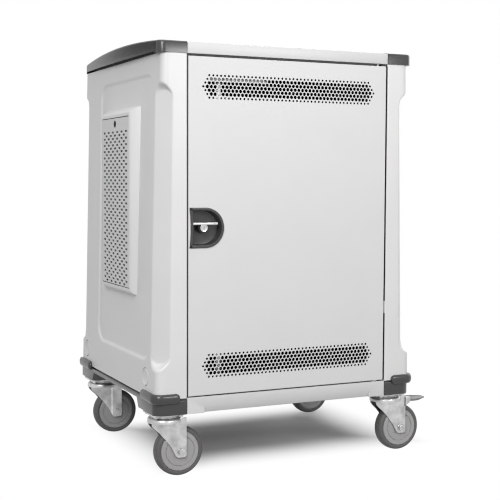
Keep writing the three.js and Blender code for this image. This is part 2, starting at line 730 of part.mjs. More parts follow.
const FRONT_EDGES = [-OPENING + DOOR_GAP_FREE, OPENING - DOOR_GAP_HINGE];
const REAR_EDGES = [-OPENING + DOOR_GAP_HINGE, OPENING - DOOR_GAP_FREE];
const FRONT_HINGE = [FRONT_EDGES[1] - HINGE_INSET, FRONT + HINGE_SETBACK];
const REAR_HINGE = [REAR_EDGES[0] + HINGE_INSET, REAR - HINGE_SETBACK];
const DOOR_Z = [DOOR_FOOT_Z, DOOR_TOP_Z];
const DOOR_BORES = DOOR_Z.map((z) => grown([z, z], HINGE_PIN_ENGAGE));
const SILL_BORE = [SHELL_Z - HINGE_PIN_ENGAGE - SEAT_GAP, SHELL_Z + NICK];

function pinHole([x, y], height) {
  return turnedZ(rod(HINGE_PIN_RADIUS + RUN_GAP, height)).translate(x, y, 0);
}

// A folded steel tray with its open side inwards.
function doorTray(edges, face, inner) {
  const outline = [Math.min(face, inner), Math.max(face, inner)];
  const inwards = Math.sign(inner - face);
  const skin = face + inwards * SHEET;
  const open = inner + inwards * BEYOND;
  const inside = [Math.min(skin, open), Math.max(skin, open)];
  return cut(block(edges, outline, DOOR_Z), block(grown(edges, -SHEET), inside, grown(DOOR_Z, -SHEET)));
}

function hexHoles(z) {
  const middle = (FRONT_EDGES[0] + FRONT_EDGES[1]) / 2;
  const reach = (FRONT_EDGES[1] - FRONT_EDGES[0]) / 2 - VENT_MARGIN;
  const most = Math.floor((2 * reach) / VENT_HOLE_PITCH) + 1;
  const holes = [];
  for (const row of [-1, 0, 1]) {
    const count = row ? most - 1 : most;
    for (let i = 0; i < count; i += 1) {
      const hole = turnedY(rod(VENT_HOLE_RADIUS, [FRONT - BEYOND, FRONT + SHEET + NICK]), VENT_HOLE_SIDES);
      const x = middle + (i - (count - 1) / 2) * VENT_HOLE_PITCH;
      holes.push(hole.translate(x, 0, z + row * VENT_ROW_PITCH));
    }
  }
  return mergeGeometries(holes);
}

const LOCK_AXIS_X = FRONT_EDGES[0] + LOCK_INSET;
const LOCK_AXIS_Z = DOOR_FOOT_Z + LOCK_RISE;

// The cup's outline: a half round beside the lock's axis, closed by a straight side at the door's edge.
function cupOutline(inset) {
  const radius = CUP_RADIUS - inset;
  const shape = new THREE.Shape();
  const straight = FRONT_EDGES[0] + CUP_EDGE + inset;
  shape.moveTo(straight, LOCK_AXIS_Z + radius);
  shape.lineTo(straight, LOCK_AXIS_Z - radius);
  shape.absarc(LOCK_AXIS_X + CUP_ROUND_OFFSET, LOCK_AXIS_Z, radius, -QUARTER, QUARTER, false);
  return shape;
}

function frontDoor() {
  const tray = doorTray(FRONT_EDGES, FRONT, FRONT + DOOR_DEPTH);
  const cupHole = prismY(cupOutline(CUP_RIM - SEAT_GAP), [FRONT - BEYOND, FRONT + SHEET + NICK]);
  return cut(
    tray,
    hexHoles(DOOR_TOP_Z - UPPER_VENT_DROP),
    hexHoles(DOOR_FOOT_Z + LOWER_VENT_RISE),
    cupHole,
    ...DOOR_BORES.map((bore) => pinHole(FRONT_HINGE, bore)),
  );
}

const CUP_BACK_Y = FRONT + CUP_DEPTH + CUP_WALL;

function lockCup() {
  const rim = prismY(cupOutline(0), [FRONT - CUP_PROUD, FRONT - SEAT_GAP]);
  const bowl = prismY(cupOutline(CUP_RIM), [FRONT - CUP_PROUD, CUP_BACK_Y]);
  const hollow = prismY(cupOutline(CUP_RIM + CUP_WALL), [FRONT - BEYOND, FRONT + CUP_DEPTH]);
  const hole = turnedY(rod(SPINDLE_RADIUS + RUN_GAP, [FRONT, FRONT + BEYOND]));
  return cut(join(rim, bowl), hollow, hole.translate(LOCK_AXIS_X, 0, LOCK_AXIS_Z));
}

const CRANK_RADIUS = ROD_TRAVEL * Math.SQRT1_2;
const CAM_Y = [CUP_BACK_Y + RUN_GAP, CUP_BACK_Y + RUN_GAP + CAM_PLATE];
const ROD_Y = [CAM_Y[1] + RUN_GAP, CAM_Y[1] + RUN_GAP + ROD_PLATE];

function atLock(geometry) {
  return geometry.translate(LOCK_AXIS_X, 0, LOCK_AXIS_Z);
}

function turnHandle() {
  const hub = turnedY(rod(HANDLE_HUB_RADIUS, [FRONT, FRONT + HANDLE_HUB_DEPTH]));
  const spindle = turnedY(rod(SPINDLE_RADIUS, [FRONT, CAM_Y[1]]));
  const low = HANDLE_BAR_RISE - HANDLE_BAR / 2;
  const span = grown([HANDLE_BAR_OFFSET, HANDLE_BAR_OFFSET], HANDLE_LENGTH / 2);
  const outline = rectangle(span, [low, low + HANDLE_BAR]);
  const bar = prismY(outline, [FRONT, FRONT + HANDLE_BAR_DEPTH]);
  const bore = turnedY(rod(KEY_RADIUS + RUN_GAP, [FRONT - BEYOND, FRONT + KEY_DEPTH]));
  return atLock(cut(join(hub, spindle, bar), bore));
}

function keyCylinder() {
  return atLock(turnedY(rod(KEY_RADIUS, [FRONT - KEY_PROUD, FRONT + KEY_DEPTH - SEAT_GAP])));
}

// The plate on the spindle's end. Its two crank pins drive the rods, one up and one down.
function lockCam() {
  const plate = turnedY(rod(CAM_RADIUS, CAM_Y));
  const hole = turnedY(rod(SPINDLE_RADIUS + SEAT_GAP, grown(CAM_Y, BEYOND)));
  const reach = ROD_TRAVEL / 2;
  const pins = [1, -1].map((side) => {
    const pin = turnedY(rod(CRANK_PIN_RADIUS, [CAM_Y[0], ROD_Y[1]]));
    return pin.translate(side * reach, 0, -side * reach);
  });
  return atLock(join(cut(plate, hole), ...pins));
}

// The slot in a rod's head lets the crank pin swing sideways while it lifts the rod.
function crankSlot(side) {
  const slack = CRANK_PIN_RADIUS + 2 * RUN_GAP;
  const near = ROD_TRAVEL / 2;
  const across = [side * (near - slack), side * (CRANK_RADIUS + slack)];
  const z = -side * near;
  const outline = rectangle([Math.min(...across), Math.max(...across)], grown([z, z], slack));
  return prismY(outline, grown(ROD_Y, NICK));
}

const HEAD_MARGIN = CRANK_PIN_RADIUS + 2 * RUN_GAP + ROD_PLATE;
const HEAD_SPAN = [ROD_TRAVEL / 2 - HEAD_MARGIN, CRANK_RADIUS + HEAD_MARGIN];
const HEAD_LEVEL = ROD_TRAVEL / 2;
const ROD_SPAN = [ROD_OFFSET - ROD_WIDTH / 2, ROD_OFFSET + ROD_WIDTH / 2];

function upperRod() {
  const tip = DOOR_TOP_Z - ROD_TIP_CLEARANCE - LOCK_AXIS_Z;
  const foot = -HEAD_LEVEL - ROD_HEAD / 2;
  const outline = polygon([
    [HEAD_SPAN[0], foot],
    [ROD_SPAN[1], foot],
    [ROD_SPAN[1], tip],
    [ROD_SPAN[0], tip],
    [ROD_SPAN[0], foot + ROD_HEAD],
    [HEAD_SPAN[0], foot + ROD_HEAD],
  ]);
  return atLock(cut(prismY(outline, ROD_Y), crankSlot(1)));
}

function lowerRod() {
  const tip = DOOR_FOOT_Z + ROD_TIP_CLEARANCE - LOCK_AXIS_Z;
  const head = HEAD_LEVEL + ROD_HEAD / 2;
  const elbow = -ROD_ELBOW - ROD_HEAD;
  const outline = polygon([
    [-HEAD_SPAN[1], head],
    [-HEAD_SPAN[1], elbow - ROD_HEAD],
    [ROD_SPAN[0], elbow - ROD_HEAD],
    [ROD_SPAN[0], tip],
    [ROD_SPAN[1], tip],
    [ROD_SPAN[1], elbow],
    [-HEAD_SPAN[0], elbow],
    [-HEAD_SPAN[0], head],
  ]);
  return atLock(cut(prismY(outline, ROD_Y), crankSlot(-1)));
}

function rodGuide(level) {
  const z = level - LOCK_AXIS_Z;
  const body = block(
    grown(ROD_SPAN, GUIDE_WALL),
    [FRONT + SHEET + SEAT_GAP, ROD_Y[1] + GUIDE_WALL],
    [z - GUIDE_HEIGHT / 2, z + GUIDE_HEIGHT / 2],
  );
  const slot = block(grown(ROD_SPAN, RUN_GAP), grown(ROD_Y, RUN_GAP), grown([z, z], BEYOND));
  return atLock(cut(body, slot));
}

function upperHingePin() {
  const seat = CAP_Z + SHEET + SEAT_GAP;
  return turnedZ([
    [0, CAP_Z - HINGE_PIN_ENGAGE],
    [HINGE_PIN_RADIUS, CAP_Z - HINGE_PIN_ENGAGE],
    [HINGE_PIN_RADIUS, seat],
    [HINGE_COLLAR_RADIUS, seat],
    [HINGE_COLLAR_RADIUS, seat + SHEET],
    [0, seat + SHEET],
  ]);
}

// The lower pin's collar fills the gap under the door and carries it.
function lowerHingePin() {
  const seat = SHELL_Z + SEAT_GAP;
  const collar = DOOR_FOOT_Z - SEAT_GAP;
  return turnedZ([
    [0, SHELL_Z - HINGE_PIN_ENGAGE],
    [HINGE_PIN_RADIUS, SHELL_Z - HINGE_PIN_ENGAGE],
    [HINGE_PIN_RADIUS, seat],
    [HINGE_COLLAR_RADIUS, seat],
    [HINGE_COLLAR_RADIUS, collar],
    [HINGE_PIN_RADIUS, collar],
    [HINGE_PIN_RADIUS, collar + HINGE_PIN_ENGAGE],
    [0, collar + HINGE_PIN_ENGAGE],
  ]);
}

const REAR_LOCK_X = REAR_EDGES[1] - REAR_LOCK_INSET;

function atRearLock(geometry) {
  return geometry.translate(REAR_LOCK_X, 0, LOCK_AXIS_Z);
}

function rearDoor() {
  const tray = doorTray(REAR_EDGES, REAR, REAR - DOOR_DEPTH);
  const through = [REAR - SHEET - NICK, REAR + BEYOND];
  const middle = (REAR_EDGES[0] + REAR_EDGES[1]) / 2;
  const count = Math.floor((REAR_EDGES[1] - REAR_EDGES[0]) / REAR_SLOT_PITCH);
  const slots = [];
  for (const z of [DOOR_TOP_Z - UPPER_VENT_DROP, DOOR_FOOT_Z + LOWER_VENT_RISE]) {
    for (const row of [-1, 0, 1]) {
      for (let i = 0; i < count; i += 1) {
        const x = middle + (i - (count - 1) / 2) * REAR_SLOT_PITCH;
        const across = grown([x, x], REAR_SLOT_LENGTH / 2);
        const level = z + row * VENT_ROW_PITCH;
        slots.push(block(across, through, grown([level, level], REAR_SLOT_HEIGHT / 2)));
      }
    }
  }
  const lockHole = atRearLock(turnedY(rod(REAR_LOCK_RADIUS + RUN_GAP, grown(through, BEYOND))));
  const holes = DOOR_BORES.map((bore) => pinHole(REAR_HINGE, bore));
  return cut(tray, mergeGeometries(slots), lockHole, ...holes);
}

// The rear tongue hangs down when it is open and swings behind the post when it is locked.
function rearLock() {
  const back = REAR - POST_RETURN - RUN_GAP;
  const barrel = turnedY(rod(REAR_LOCK_RADIUS, [back - TONGUE_PLATE, REAR]));
  const half = TONGUE_WIDTH / 2;
  const tongue = block([-half, half], [back - TONGUE_PLATE, back], [-REAR_TONGUE_REACH, 0]);
  return atRearLock(join(barrel, tongue));
}

// Inside

function innerWall() {
  const ends = [FRONT + INNER_END_MARGIN, REAR - INNER_END_MARGIN];
  const height = [PAN_TOP_Z + SEAT_GAP, TOP_SHEET_Z - SEAT_GAP];
  return block([INNER_HALF - PLATE, INNER_HALF], ends, height);
}

const INNER_SPAN = grown([-INNER_HALF, INNER_HALF], -PLATE - SEAT_GAP);

function partition() {
  const height = [PAN_TOP_Z + SEAT_GAP, TOP_SHEET_Z - SEAT_GAP];
  const sheet = block(INNER_SPAN, [PARTITION_Y, PARTITION_Y + PLATE], height);
  const windows = [];
  for (const floor of [PAN_TOP_Z, SHELF_TOP_Z]) {
    for (const side of [-1, 1]) {
      const x = (side * INNER_HALF) / 2;
      const foot = floor + CABLE_WINDOW_RISE;
      windows.push(block(
        grown([x, x], CABLE_WINDOW_WIDTH / 2),
        grown([PARTITION_Y, PARTITION_Y], BEYOND),
        [foot, foot + CABLE_WINDOW_HEIGHT],
      ));
    }
  }
  return cut(sheet, mergeGeometries(windows));
}

function shelf() {
  const lip = FRONT + SHELF_SETBACK;
  const back = PARTITION_Y - SEAT_GAP;
  const profile = polygon([
    [lip, SHELF_TOP_Z - SHELF_LIP],
    [lip + PLATE, SHELF_TOP_Z - SHELF_LIP],
    [lip + PLATE, SHELF_TOP_Z - PLATE],
    [back, SHELF_TOP_Z - PLATE],
    [back, SHELF_TOP_Z],
    [lip, SHELF_TOP_Z],
  ]);
  return prismX(profile, INNER_SPAN);
}

// A comb of upright fins: one laptop stands in each bay.
function dividerRack(floor) {
  const foot = floor + SEAT_GAP;
  const seat = foot + RACK_FLOOR;
  const pitch = (2 * RACK_HALF - RACK_FIN) / BAYS;
  const points = [[-RACK_HALF, foot], [RACK_HALF, foot]];
  for (let i = BAYS; i >= 0; i -= 1) {
    const left = -RACK_HALF + i * pitch;
    if (i < BAYS) points.push([left + RACK_FIN, seat]);
    points.push([left + RACK_FIN, seat + RACK_FIN_HEIGHT], [left, seat + RACK_FIN_HEIGHT]);
    if (i > 0) points.push([left, seat]);
  }
  const depth = [FRONT + RACK_SETBACK, PARTITION_Y - RACK_REAR_MARGIN];
  return prismY(polygon(points), depth);
}

// A box of sockets on the partition's rear face, one socket for each bay above it.
function powerStrip(floor) {
  const back = PARTITION_Y + PLATE + SEAT_GAP;
  const foot = floor + STRIP_RISE;
  const half = STRIP_WIDTH / 2;
  const box = block([-half, half], [back, back + STRIP_DEPTH], [foot, foot + STRIP_HEIGHT]);
  const faces = [];
  for (let i = 0; i < BAYS; i += 1) {
    const face = turnedY(rod(SOCKET_RADIUS, [back, back + STRIP_DEPTH + SOCKET_PROUD]), SOCKET_SIDES);
    const x = -half + (i + 0.5) * (STRIP_WIDTH / BAYS);
    faces.push(face.translate(x, 0, foot + STRIP_HEIGHT / 2));
  }
  return join(box, ...faces);
}

// Castors, drawn with the swivel axis at the group's origin and the wheel trailing to the right

const PLATE_Z = BASE_Z - SEAT_GAP - CASTOR_PLATE;
const RACE_Z = PLATE_Z - RACE_HEIGHT;
const CROWN_Z = [RACE_Z - SEAT_GAP - CROWN_PLATE, RACE_Z - SEAT_GAP];
const LEG_OUT = FORK_INSIDE / 2 + FORK_PLATE;
const BRAKE_PIVOT = [TRAIL + BRAKE_PIVOT_FROM_AXLE, CROWN_Z[0] - BRAKE_PIVOT_DROP];

function castorPlate() {
  const plate = block(
    grown([0, 0], CASTOR_PLATE_WIDTH / 2),
    grown([0, 0], CASTOR_PLATE_LENGTH / 2),
    [PLATE_Z, PLATE_Z + CASTOR_PLATE],
  );
  const head = CROWN_Z[0] - SEAT_GAP;
  const race = turnedZ([
    [0, head - KING_PIN_HEAD],
    [KING_PIN_HEAD_RADIUS, head - KING_PIN_HEAD],
    [KING_PIN_HEAD_RADIUS, head],
    [KING_PIN_RADIUS, head],
    [KING_PIN_RADIUS, RACE_Z],
    [RACE_RADIUS, RACE_Z],
    [RACE_RADIUS, PLATE_Z + NICK],
    [0, PLATE_Z + NICK],
  ]);
  return join(plate, race);
}

function forkLeg(braked) {
  const axle = WHEEL_RADIUS;
  const toe = TRAIL + FORK_FOOT_RADIUS;
  const top = CROWN_Z[1];
  const shape = new THREE.Shape();
  shape.moveTo(-FORK_HEEL, top);
  shape.lineTo(-FORK_HEEL, CROWN_Z[0]);
  shape.quadraticCurveTo(0, CROWN_Z[0] - FORK_HEEL, TRAIL - FORK_FOOT_RADIUS, axle);
  shape.lineTo(TRAIL - FORK_FOOT_RADIUS / 2, axle - FORK_FOOT_RADIUS);
  shape.lineTo(TRAIL + FORK_FOOT_RADIUS / 2, axle - FORK_FOOT_RADIUS);
  shape.lineTo(toe, axle);
  if (braked) {
    shape.lineTo(toe, CROWN_Z[0] - BRAKE_EAR_HEIGHT);
    shape.lineTo(TRAIL + BRAKE_EAR, CROWN_Z[0] - BRAKE_EAR_HEIGHT / 2);
    shape.lineTo(TRAIL + BRAKE_EAR, top);
  } else {
    shape.lineTo(toe, top);
  }
  return shape;
}

function castorFork(braked) {
  const right = braked ? TRAIL + BRAKE_EAR : TRAIL + FORK_FOOT_RADIUS;
  const bridge = block([-FORK_HEEL, right - (braked ? PEDAL_HEEL : 0)], [-LEG_OUT, LEG_OUT], CROWN_Z);
  const disc = turnedZ(rod(CROWN_RADIUS, CROWN_Z));
  const legs = [-1, 1].map((side) => {
    const inner = side * (FORK_INSIDE / 2);
    const outer = side * LEG_OUT;
    return prismY(forkLeg(braked), [Math.min(inner, outer), Math.max(inner, outer)]);
  });
  const across = [-BEYOND, BEYOND];
  const kingHole = turnedZ(rod(KING_PIN_RADIUS + RUN_GAP, grown(CROWN_Z, BEYOND)));
  const axleHole = turnedY(rod(AXLE_RADIUS + SEAT_GAP, across)).translate(TRAIL, 0, WHEEL_RADIUS);
  const holes = [kingHole, axleHole];
  if (braked) {
    const pivotHole = turnedY(rod(BRAKE_PIVOT_RADIUS + RUN_GAP, across));
    holes.push(pivotHole.translate(BRAKE_PIVOT[0], 0, BRAKE_PIVOT[1]));
  }
  return cut(join(bridge, disc, ...legs), ...holes);
}

function castorAxle() {
  const face = LEG_OUT + SEAT_GAP;
  return turnedY([
    [0, -face - AXLE_HEAD],
    [AXLE_HEAD_RADIUS, -face - AXLE_HEAD],
    [AXLE_HEAD_RADIUS, -face],
    [AXLE_RADIUS, -face],
    [AXLE_RADIUS, face],
    [AXLE_HEAD_RADIUS, face],
    [AXLE_HEAD_RADIUS, face + AXLE_HEAD],
    [0, face + AXLE_HEAD],
  ]);
}

// Half of a wheel's profile, mirrored about the wheel's middle plane to close it.
function bothSides(half) {
  const other = half.map(([radius, y]) => [radius, -y]);
  const ring = [...other, ...half.reverse()];
  return [...ring, ring[0]];
}

function wheelHub() {
  const face = TYRE_WIDTH / 2;
  return turnedY(bothSides([
    [AXLE_RADIUS + RUN_GAP, HUB_WIDTH / 2],
    [BEARING_RADIUS, HUB_WIDTH / 2],
    [BEARING_RADIUS, face],
    [HUB_CAP_RADIUS, face],
    [HUB_RADIUS - SEAT_GAP, face - HUB_FACE_STEP],
  ]), WHEEL_SIDES);
}

function wheelTyre() {
  const face = TYRE_WIDTH / 2;
  return turnedY(bothSides([
    [HUB_RADIUS, face - HUB_FACE_STEP],
    [HUB_RADIUS + HUB_FACE_STEP, face],
    [WHEEL_RADIUS - TYRE_SHOULDER, face],
    [WHEEL_RADIUS, face - TYRE_SHOULDER],
  ]), WHEEL_SIDES);
}

function brakePedal() {
  const [x, z] = BRAKE_PIVOT;
  const half = PEDAL_PLATE / 2;
  const heel = x - PEDAL_HEEL;
  const side = polygon([
    [heel, z - half],
    [x + PEDAL_HEEL, z - half],
    [PEDAL_REACH, z + PEDAL_RISE - half],
    [PEDAL_REACH, z + PEDAL_RISE],
    [x + PEDAL_HEEL, z + half],
    [heel, z + half],
  ]);
  const wide = PEDAL_WIDTH / 2;
  const waist = x + (PEDAL_REACH - x) / 2;
  const plan = polygon([
    [heel, -wide],
    [waist, -wide],
    [PEDAL_REACH - half, -half],
    [PEDAL_REACH, 0],
    [PEDAL_REACH - half, half],
    [waist, wide],
    [heel, wide],
  ]);
  const blade = common(prismY(side, [-BEYOND, BEYOND]), prismZ(plan, [0, BASE_Z]));
  const pivot = turnedY(rod(BRAKE_PIVOT_RADIUS, [-LEG_OUT, LEG_OUT])).translate(x, 0, z);
  return join(blade, pivot);
}

// Assembly

const cart = new THREE.Group();
const cabinet = new THREE.Group();
cabinet.position.x = -FOOTPRINT_SHIFT;
cart.add(cabinet);

for (const [side, mirror] of [['left', -1], ['right', 1]]) {
  const flank = new THREE.Group();
  flank.scale.x = mirror;
  cabinet.add(flank);
  add(flank, `${side}_base_sill`, baseSill(), TRIM_GREY);
  add(flank, `${side}_side_shell`, sideShell(), WHITE_MOULDING);
  add(flank, `${side}_vent_cover`, ventCover(), WHITE_PAINT);
  add(flank, `${side}_cover_lock`, coverLock(), LOCK_BLACK);
  add(flank, `${side}_top_cap`, topCap(), TRIM_GREY);
  add(flank, `${side}_inner_wall`, innerWall(), INNER_PAINT);
}

add(cabinet, 'base_pan', basePan(), INNER_PAINT);
add(cabinet, 'front_base_rail', frontBaseRail(), WHITE_PAINT);
add(cabinet, 'rear_base_rail', rearBaseRail(), WHITE_PAINT);
add(cabinet, 'mains_inlet', mainsInlet(), RACK_BLACK);
add(cabinet, 'top_panel', topPanel(), WHITE_PAINT);
add(cabinet, 'partition', partition(), INNER_PAINT);
add(cabinet, 'shelf', shelf(), INNER_PAINT);
for (const [level, floor] of [['lower', PAN_TOP_Z], ['upper', SHELF_TOP_Z]]) {
  add(cabinet, `${level}_divider_rack`, dividerRack(floor), RACK_BLACK);
  add(cabinet, `${level}_power_strip`, powerStrip(floor), RACK_BLACK);
}

for (const [door, [x, y]] of [['front', FRONT_HINGE], ['rear', REAR_HINGE]]) {
  const hinge = new THREE.Group();
  hinge.position.set(x, y, 0);
  cabinet.add(hinge);
  add(hinge, `${door}_upper_hinge_pin`, upperHingePin(), ZINC);
  add(hinge, `${door}_lower_hinge_pin`, lowerHingePin(), ZINC);
}

add(cabinet, 'front_door', frontDoor(), WHITE_PAINT);
add(cabinet, 'lock_cup', lockCup(), TRIM_GREY);
add(cabinet, 'turn_handle', turnHandle(), CHROME);
add(cabinet, 'key_cylinder', keyCylinder(), CHROME);
add(cabinet, 'lock_cam', lockCam(), ZINC);
add(cabinet, 'upper_lock_rod', upperRod(), ZINC);
add(cabinet, 'lower_lock_rod', lowerRod(), ZINC);
add(cabinet, 'upper_rod_guide', rodGuide(DOOR_TOP_Z - GUIDE_FROM_END), ZINC);
add(cabinet, 'lower_rod_guide', rodGuide(DOOR_FOOT_Z + GUIDE_FROM_END), ZINC);
add(cabinet, 'rear_door', rearDoor(), WHITE_PAINT);
add(cabinet, 'rear_lock', rearLock(), LOCK_BLACK);

for (const [end, y] of [['front', -CASTOR_Y], ['rear', CASTOR_Y]]) {
  for (const [side, x] of [['left', -CASTOR_X], ['right', CASTOR_X]]) {
    const castor = new THREE.Group();
    castor.position.set(x, y, 0);
    cabinet.add(castor);
    const wheel = new THREE.Group();
    wheel.position.set(TRAIL, 0, WHEEL_RADIUS);
    castor.add(wheel);
    const braked = side === 'right';
    const name = `${end}_${side}`;
    add(castor, `${name}_castor_plate`, castorPlate(), ZINC);
    add(castor, `${name}_fork`, castorFork(braked), ZINC);
    add(wheel, `${name}_axle`, castorAxle(), ZINC);
    add(wheel, `${name}_hub`, wheelHub(), HUB_GREY);
    add(wheel, `${name}_tyre`, wheelTyre(), TYRE_GREY);
    if (braked) add(castor, `${name}_brake_pedal`, brakePedal(), PEDAL_GREY);
  }
}

export default cart;
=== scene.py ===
# %% [markdown]
# # A laptop charging cart
#
# The cart is a white cabinet on four castors. Its frame comes from a CAD model, which gives every
# piece its place and size. This lesson dresses that frame: it remodels the pieces that show with
# their real roundings, holes and folds, and gives each surface its finish.

# %% Load the CAD model
import json
import math

import bmesh
import bpy
from mathutils import Matrix, Vector


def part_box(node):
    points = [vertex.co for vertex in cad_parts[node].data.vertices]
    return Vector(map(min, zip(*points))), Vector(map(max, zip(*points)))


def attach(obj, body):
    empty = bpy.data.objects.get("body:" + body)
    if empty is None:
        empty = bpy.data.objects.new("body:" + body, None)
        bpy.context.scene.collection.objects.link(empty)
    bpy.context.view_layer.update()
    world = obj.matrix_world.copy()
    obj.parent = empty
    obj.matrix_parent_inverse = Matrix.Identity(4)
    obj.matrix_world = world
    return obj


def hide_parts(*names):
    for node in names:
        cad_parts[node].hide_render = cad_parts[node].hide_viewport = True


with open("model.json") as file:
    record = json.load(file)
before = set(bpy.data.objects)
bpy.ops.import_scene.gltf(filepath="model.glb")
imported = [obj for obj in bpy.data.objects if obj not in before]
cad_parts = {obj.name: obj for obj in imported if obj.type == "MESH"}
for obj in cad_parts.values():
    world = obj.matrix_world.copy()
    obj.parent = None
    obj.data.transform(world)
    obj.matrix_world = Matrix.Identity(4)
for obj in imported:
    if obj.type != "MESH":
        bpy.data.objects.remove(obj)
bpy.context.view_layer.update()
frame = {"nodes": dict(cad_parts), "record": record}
nodes = frame["nodes"]
MM = 0.001
MIDDLE = (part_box("left_side_shell")[0].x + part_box("right_side_shell")[1].x) / 2
print("loaded", len(nodes), "nodes; the cabinet's middle is at x =", round(MIDDLE, 4))

# %% [markdown]
# ## Camera
#
# The photograph was taken with a long lens from the cart's left, a little above its middle. A camera
# object looks along its own -Z, so its turn can be written as three directions: right, up and back.
# That is easier to check than three angles.

# %% Camera at the photograph's place
PHOTO_PIXELS = 500
FOCAL_PIXELS = 1078.7
SENSOR_WIDTH = 36.0
CAMERA_PLACE = Vector((-1241.2 * MM + MIDDLE, -2718.1 * MM, 733.6 * MM))
CAMERA_TURN = math.radians(-25.085)
CAMERA_TILT = math.radians(3.769)
CAMERA_ROLL = math.radians(0.225)

back = Vector((
    math.sin(CAMERA_TURN) * math.cos(CAMERA_TILT),
    -math.cos(CAMERA_TURN) * math.cos(CAMERA_TILT),
    math.sin(CAMERA_TILT),
))
level = Vector((math.cos(CAMERA_TURN), math.sin(CAMERA_TURN), 0))
upright = back.cross(level)
right = level * math.cos(CAMERA_ROLL) + upright * math.sin(CAMERA_ROLL)
up = back.cross(right)
lens = bpy.data.cameras.new("camera")
lens.sensor_width = SENSOR_WIDTH
lens.lens = FOCAL_PIXELS * SENSOR_WIDTH / PHOTO_PIXELS
camera = bpy.data.objects.new("camera", lens)
camera.matrix_world = Matrix.Translation(CAMERA_PLACE) @ Matrix((right, up, back)).transposed().to_4x4()
bpy.context.scene.collection.objects.link(camera)
bpy.context.scene.camera = camera
print("lens of", round(lens.lens, 1), "mm")

# %% [markdown]
# ## Light
#
# A product photograph on white is lit by large soft boxes. Large area lamps give soft edges to the
# shadows, and a pale world fills them. The camera, metal and glass see the world as plain white, while
# the other rays see a softer grey, so that the background is white and the cart isn't overlit. The key
# stands left of the front, a smaller box right of it is mirrored in the top rail and the caps, and a
# wide one hangs high above so that the floor is bright and the space under the cart stays dark.

# %% Rays that see the background
PIXEL_FILTER = 1.2

bpy.context.scene.view_settings.view_transform = "Standard"
bpy.context.scene.cycles.filter_width = PIXEL_FILTER
print("pixels are filtered over", PIXEL_FILTER)


def calc(tree, operation, *values):
    """The output of a math node that takes numbers or the outputs of other nodes."""
    node = tree.nodes.new("ShaderNodeMath")
    node.operation = operation
    for socket, value in zip(node.inputs, values):
        if isinstance(value, (int, float)):
            socket.default_value = value
        else:
            tree.links.new(value, socket)
    return node.outputs[0]


def background_rays(tree):
    """A node output that is 1 for the rays that look at the background, and 0 for the others."""
    path = tree.nodes.new("ShaderNodeLightPath").outputs
    metal_or_glass = calc(tree, "MAXIMUM", path["Is Glossy Ray"], path["Is Transmission Ray"])
    return calc(tree, "MAXIMUM", path["Is Camera Ray"], metal_or_glass)


def ranged(tree, value, low, high):
    """A node output that runs from low to high as a value goes from 0 to 1."""
    span = tree.nodes.new("ShaderNodeMapRange")
    span.inputs["To Min"].default_value = low
    span.inputs["To Max"].default_value = high
    tree.links.new(value, span.inputs["Value"])
    return span.outputs["Result"]


# %% World
FILL_LEVEL = 0.26

world = bpy.data.worlds.new("studio")
world.use_nodes = True
bpy.context.scene.world = world
sky = world.node_tree
sky.nodes.clear()
glow = sky.nodes.new("ShaderNodeBackground")
glow.inputs["Color"].default_value = (1, 1, 1, 1)
end = sky.nodes.new("ShaderNodeOutputWorld")
sky.links.new(ranged(sky, background_rays(sky), FILL_LEVEL, 1), glow.inputs["Strength"])
sky.links.new(glow.outputs[0], end.inputs["Surface"])
print("world fills with", FILL_LEVEL)

# %% Lamps
LAMP_AIM = Vector((0, 0, 0.6))


def soft_box(name, place, width, height, power):
    """An oblong lamp that faces the middle of the cart."""
    lamp = bpy.data.lights.new(name, "AREA")
    lamp.shape = "RECTANGLE"
    lamp.size = width
    lamp.size_y = height
    lamp.energy = power
    holder = bpy.data.objects.new(name, lamp)
    holder.location = place
    aim = LAMP_AIM - Vector(place)
    holder.rotation_euler = aim.to_track_quat("-Z", "Y").to_euler()
    bpy.context.scene.collection.objects.link(holder)


soft_box("key", (-2.1, -2.7, 2.4), 1.3, 1.5, 75)
soft_box("front_gloss", (0.95, -2.85, 1.42), 1.3, 0.4, 24)
soft_box("overhead", (-0.1, 0.1, 5.0), 4, 4, 72)
soft_box("back_fill", (1.5, 3.4, 2.0), 2.2, 2.2, 34)
soft_box("right_fill", (3.4, 0.4, 1.9), 2, 2, 20)
print("lamps:", [lamp.name for lamp in bpy.data.lights])

# %% [markdown]
# ## Floor
#
# The floor is a wide plane of white paper. The camera sees it paler than the other rays do, so that it
# doesn't throw too much light back up. Further out a plain white glow takes over where the lamps fade.
# Under the cart there is no glow, so the paper keeps the shadow. The shadow lies a little to the right
# and to the rear, because the key stands at the left of the front.

# %% Floor
FLOOR_SIZE = 40
PAPER_SEEN = 0.74
PAPER_BOUNCE = 0.28
SHADOW_MIDDLE = Vector((MIDDLE + 0.08, 0.06))
SHADOW_HALF = Vector((0.42, 0.31))
GLOW_FROM = -0.2
GLOW_FULL = 0.01

bpy.ops.object.select_all(action="DESELECT")
bpy.ops.mesh.primitive_plane_add(size=FLOOR_SIZE)
floor = bpy.context.active_object
floor.name = "floor"
paper = bpy.data.materials.new("paper")
paper.use_nodes = True
tree = paper.node_tree
tree.nodes.clear()
seen = background_rays(tree)
chalk = tree.nodes.new("ShaderNodeBsdfDiffuse")
tree.links.new(ranged(tree, seen, PAPER_BOUNCE, PAPER_SEEN), chalk.inputs["Color"])
spot = tree.nodes.new("ShaderNodeTexCoord")
place = tree.nodes.new("ShaderNodeSeparateXYZ")
tree.links.new(spot.outputs["Object"], place.inputs[0])
beyond = []
for axis, middle, half in zip("XY", SHADOW_MIDDLE, SHADOW_HALF):
    from_middle = calc(tree, "SUBTRACT", place.outputs[axis], middle)
    beyond.append(calc(tree, "SUBTRACT", calc(tree, "ABSOLUTE", from_middle), half))
fade = tree.nodes.new("ShaderNodeMapRange")
fade.interpolation_type = "SMOOTHSTEP"
fade.inputs["From Min"].default_value = GLOW_FROM
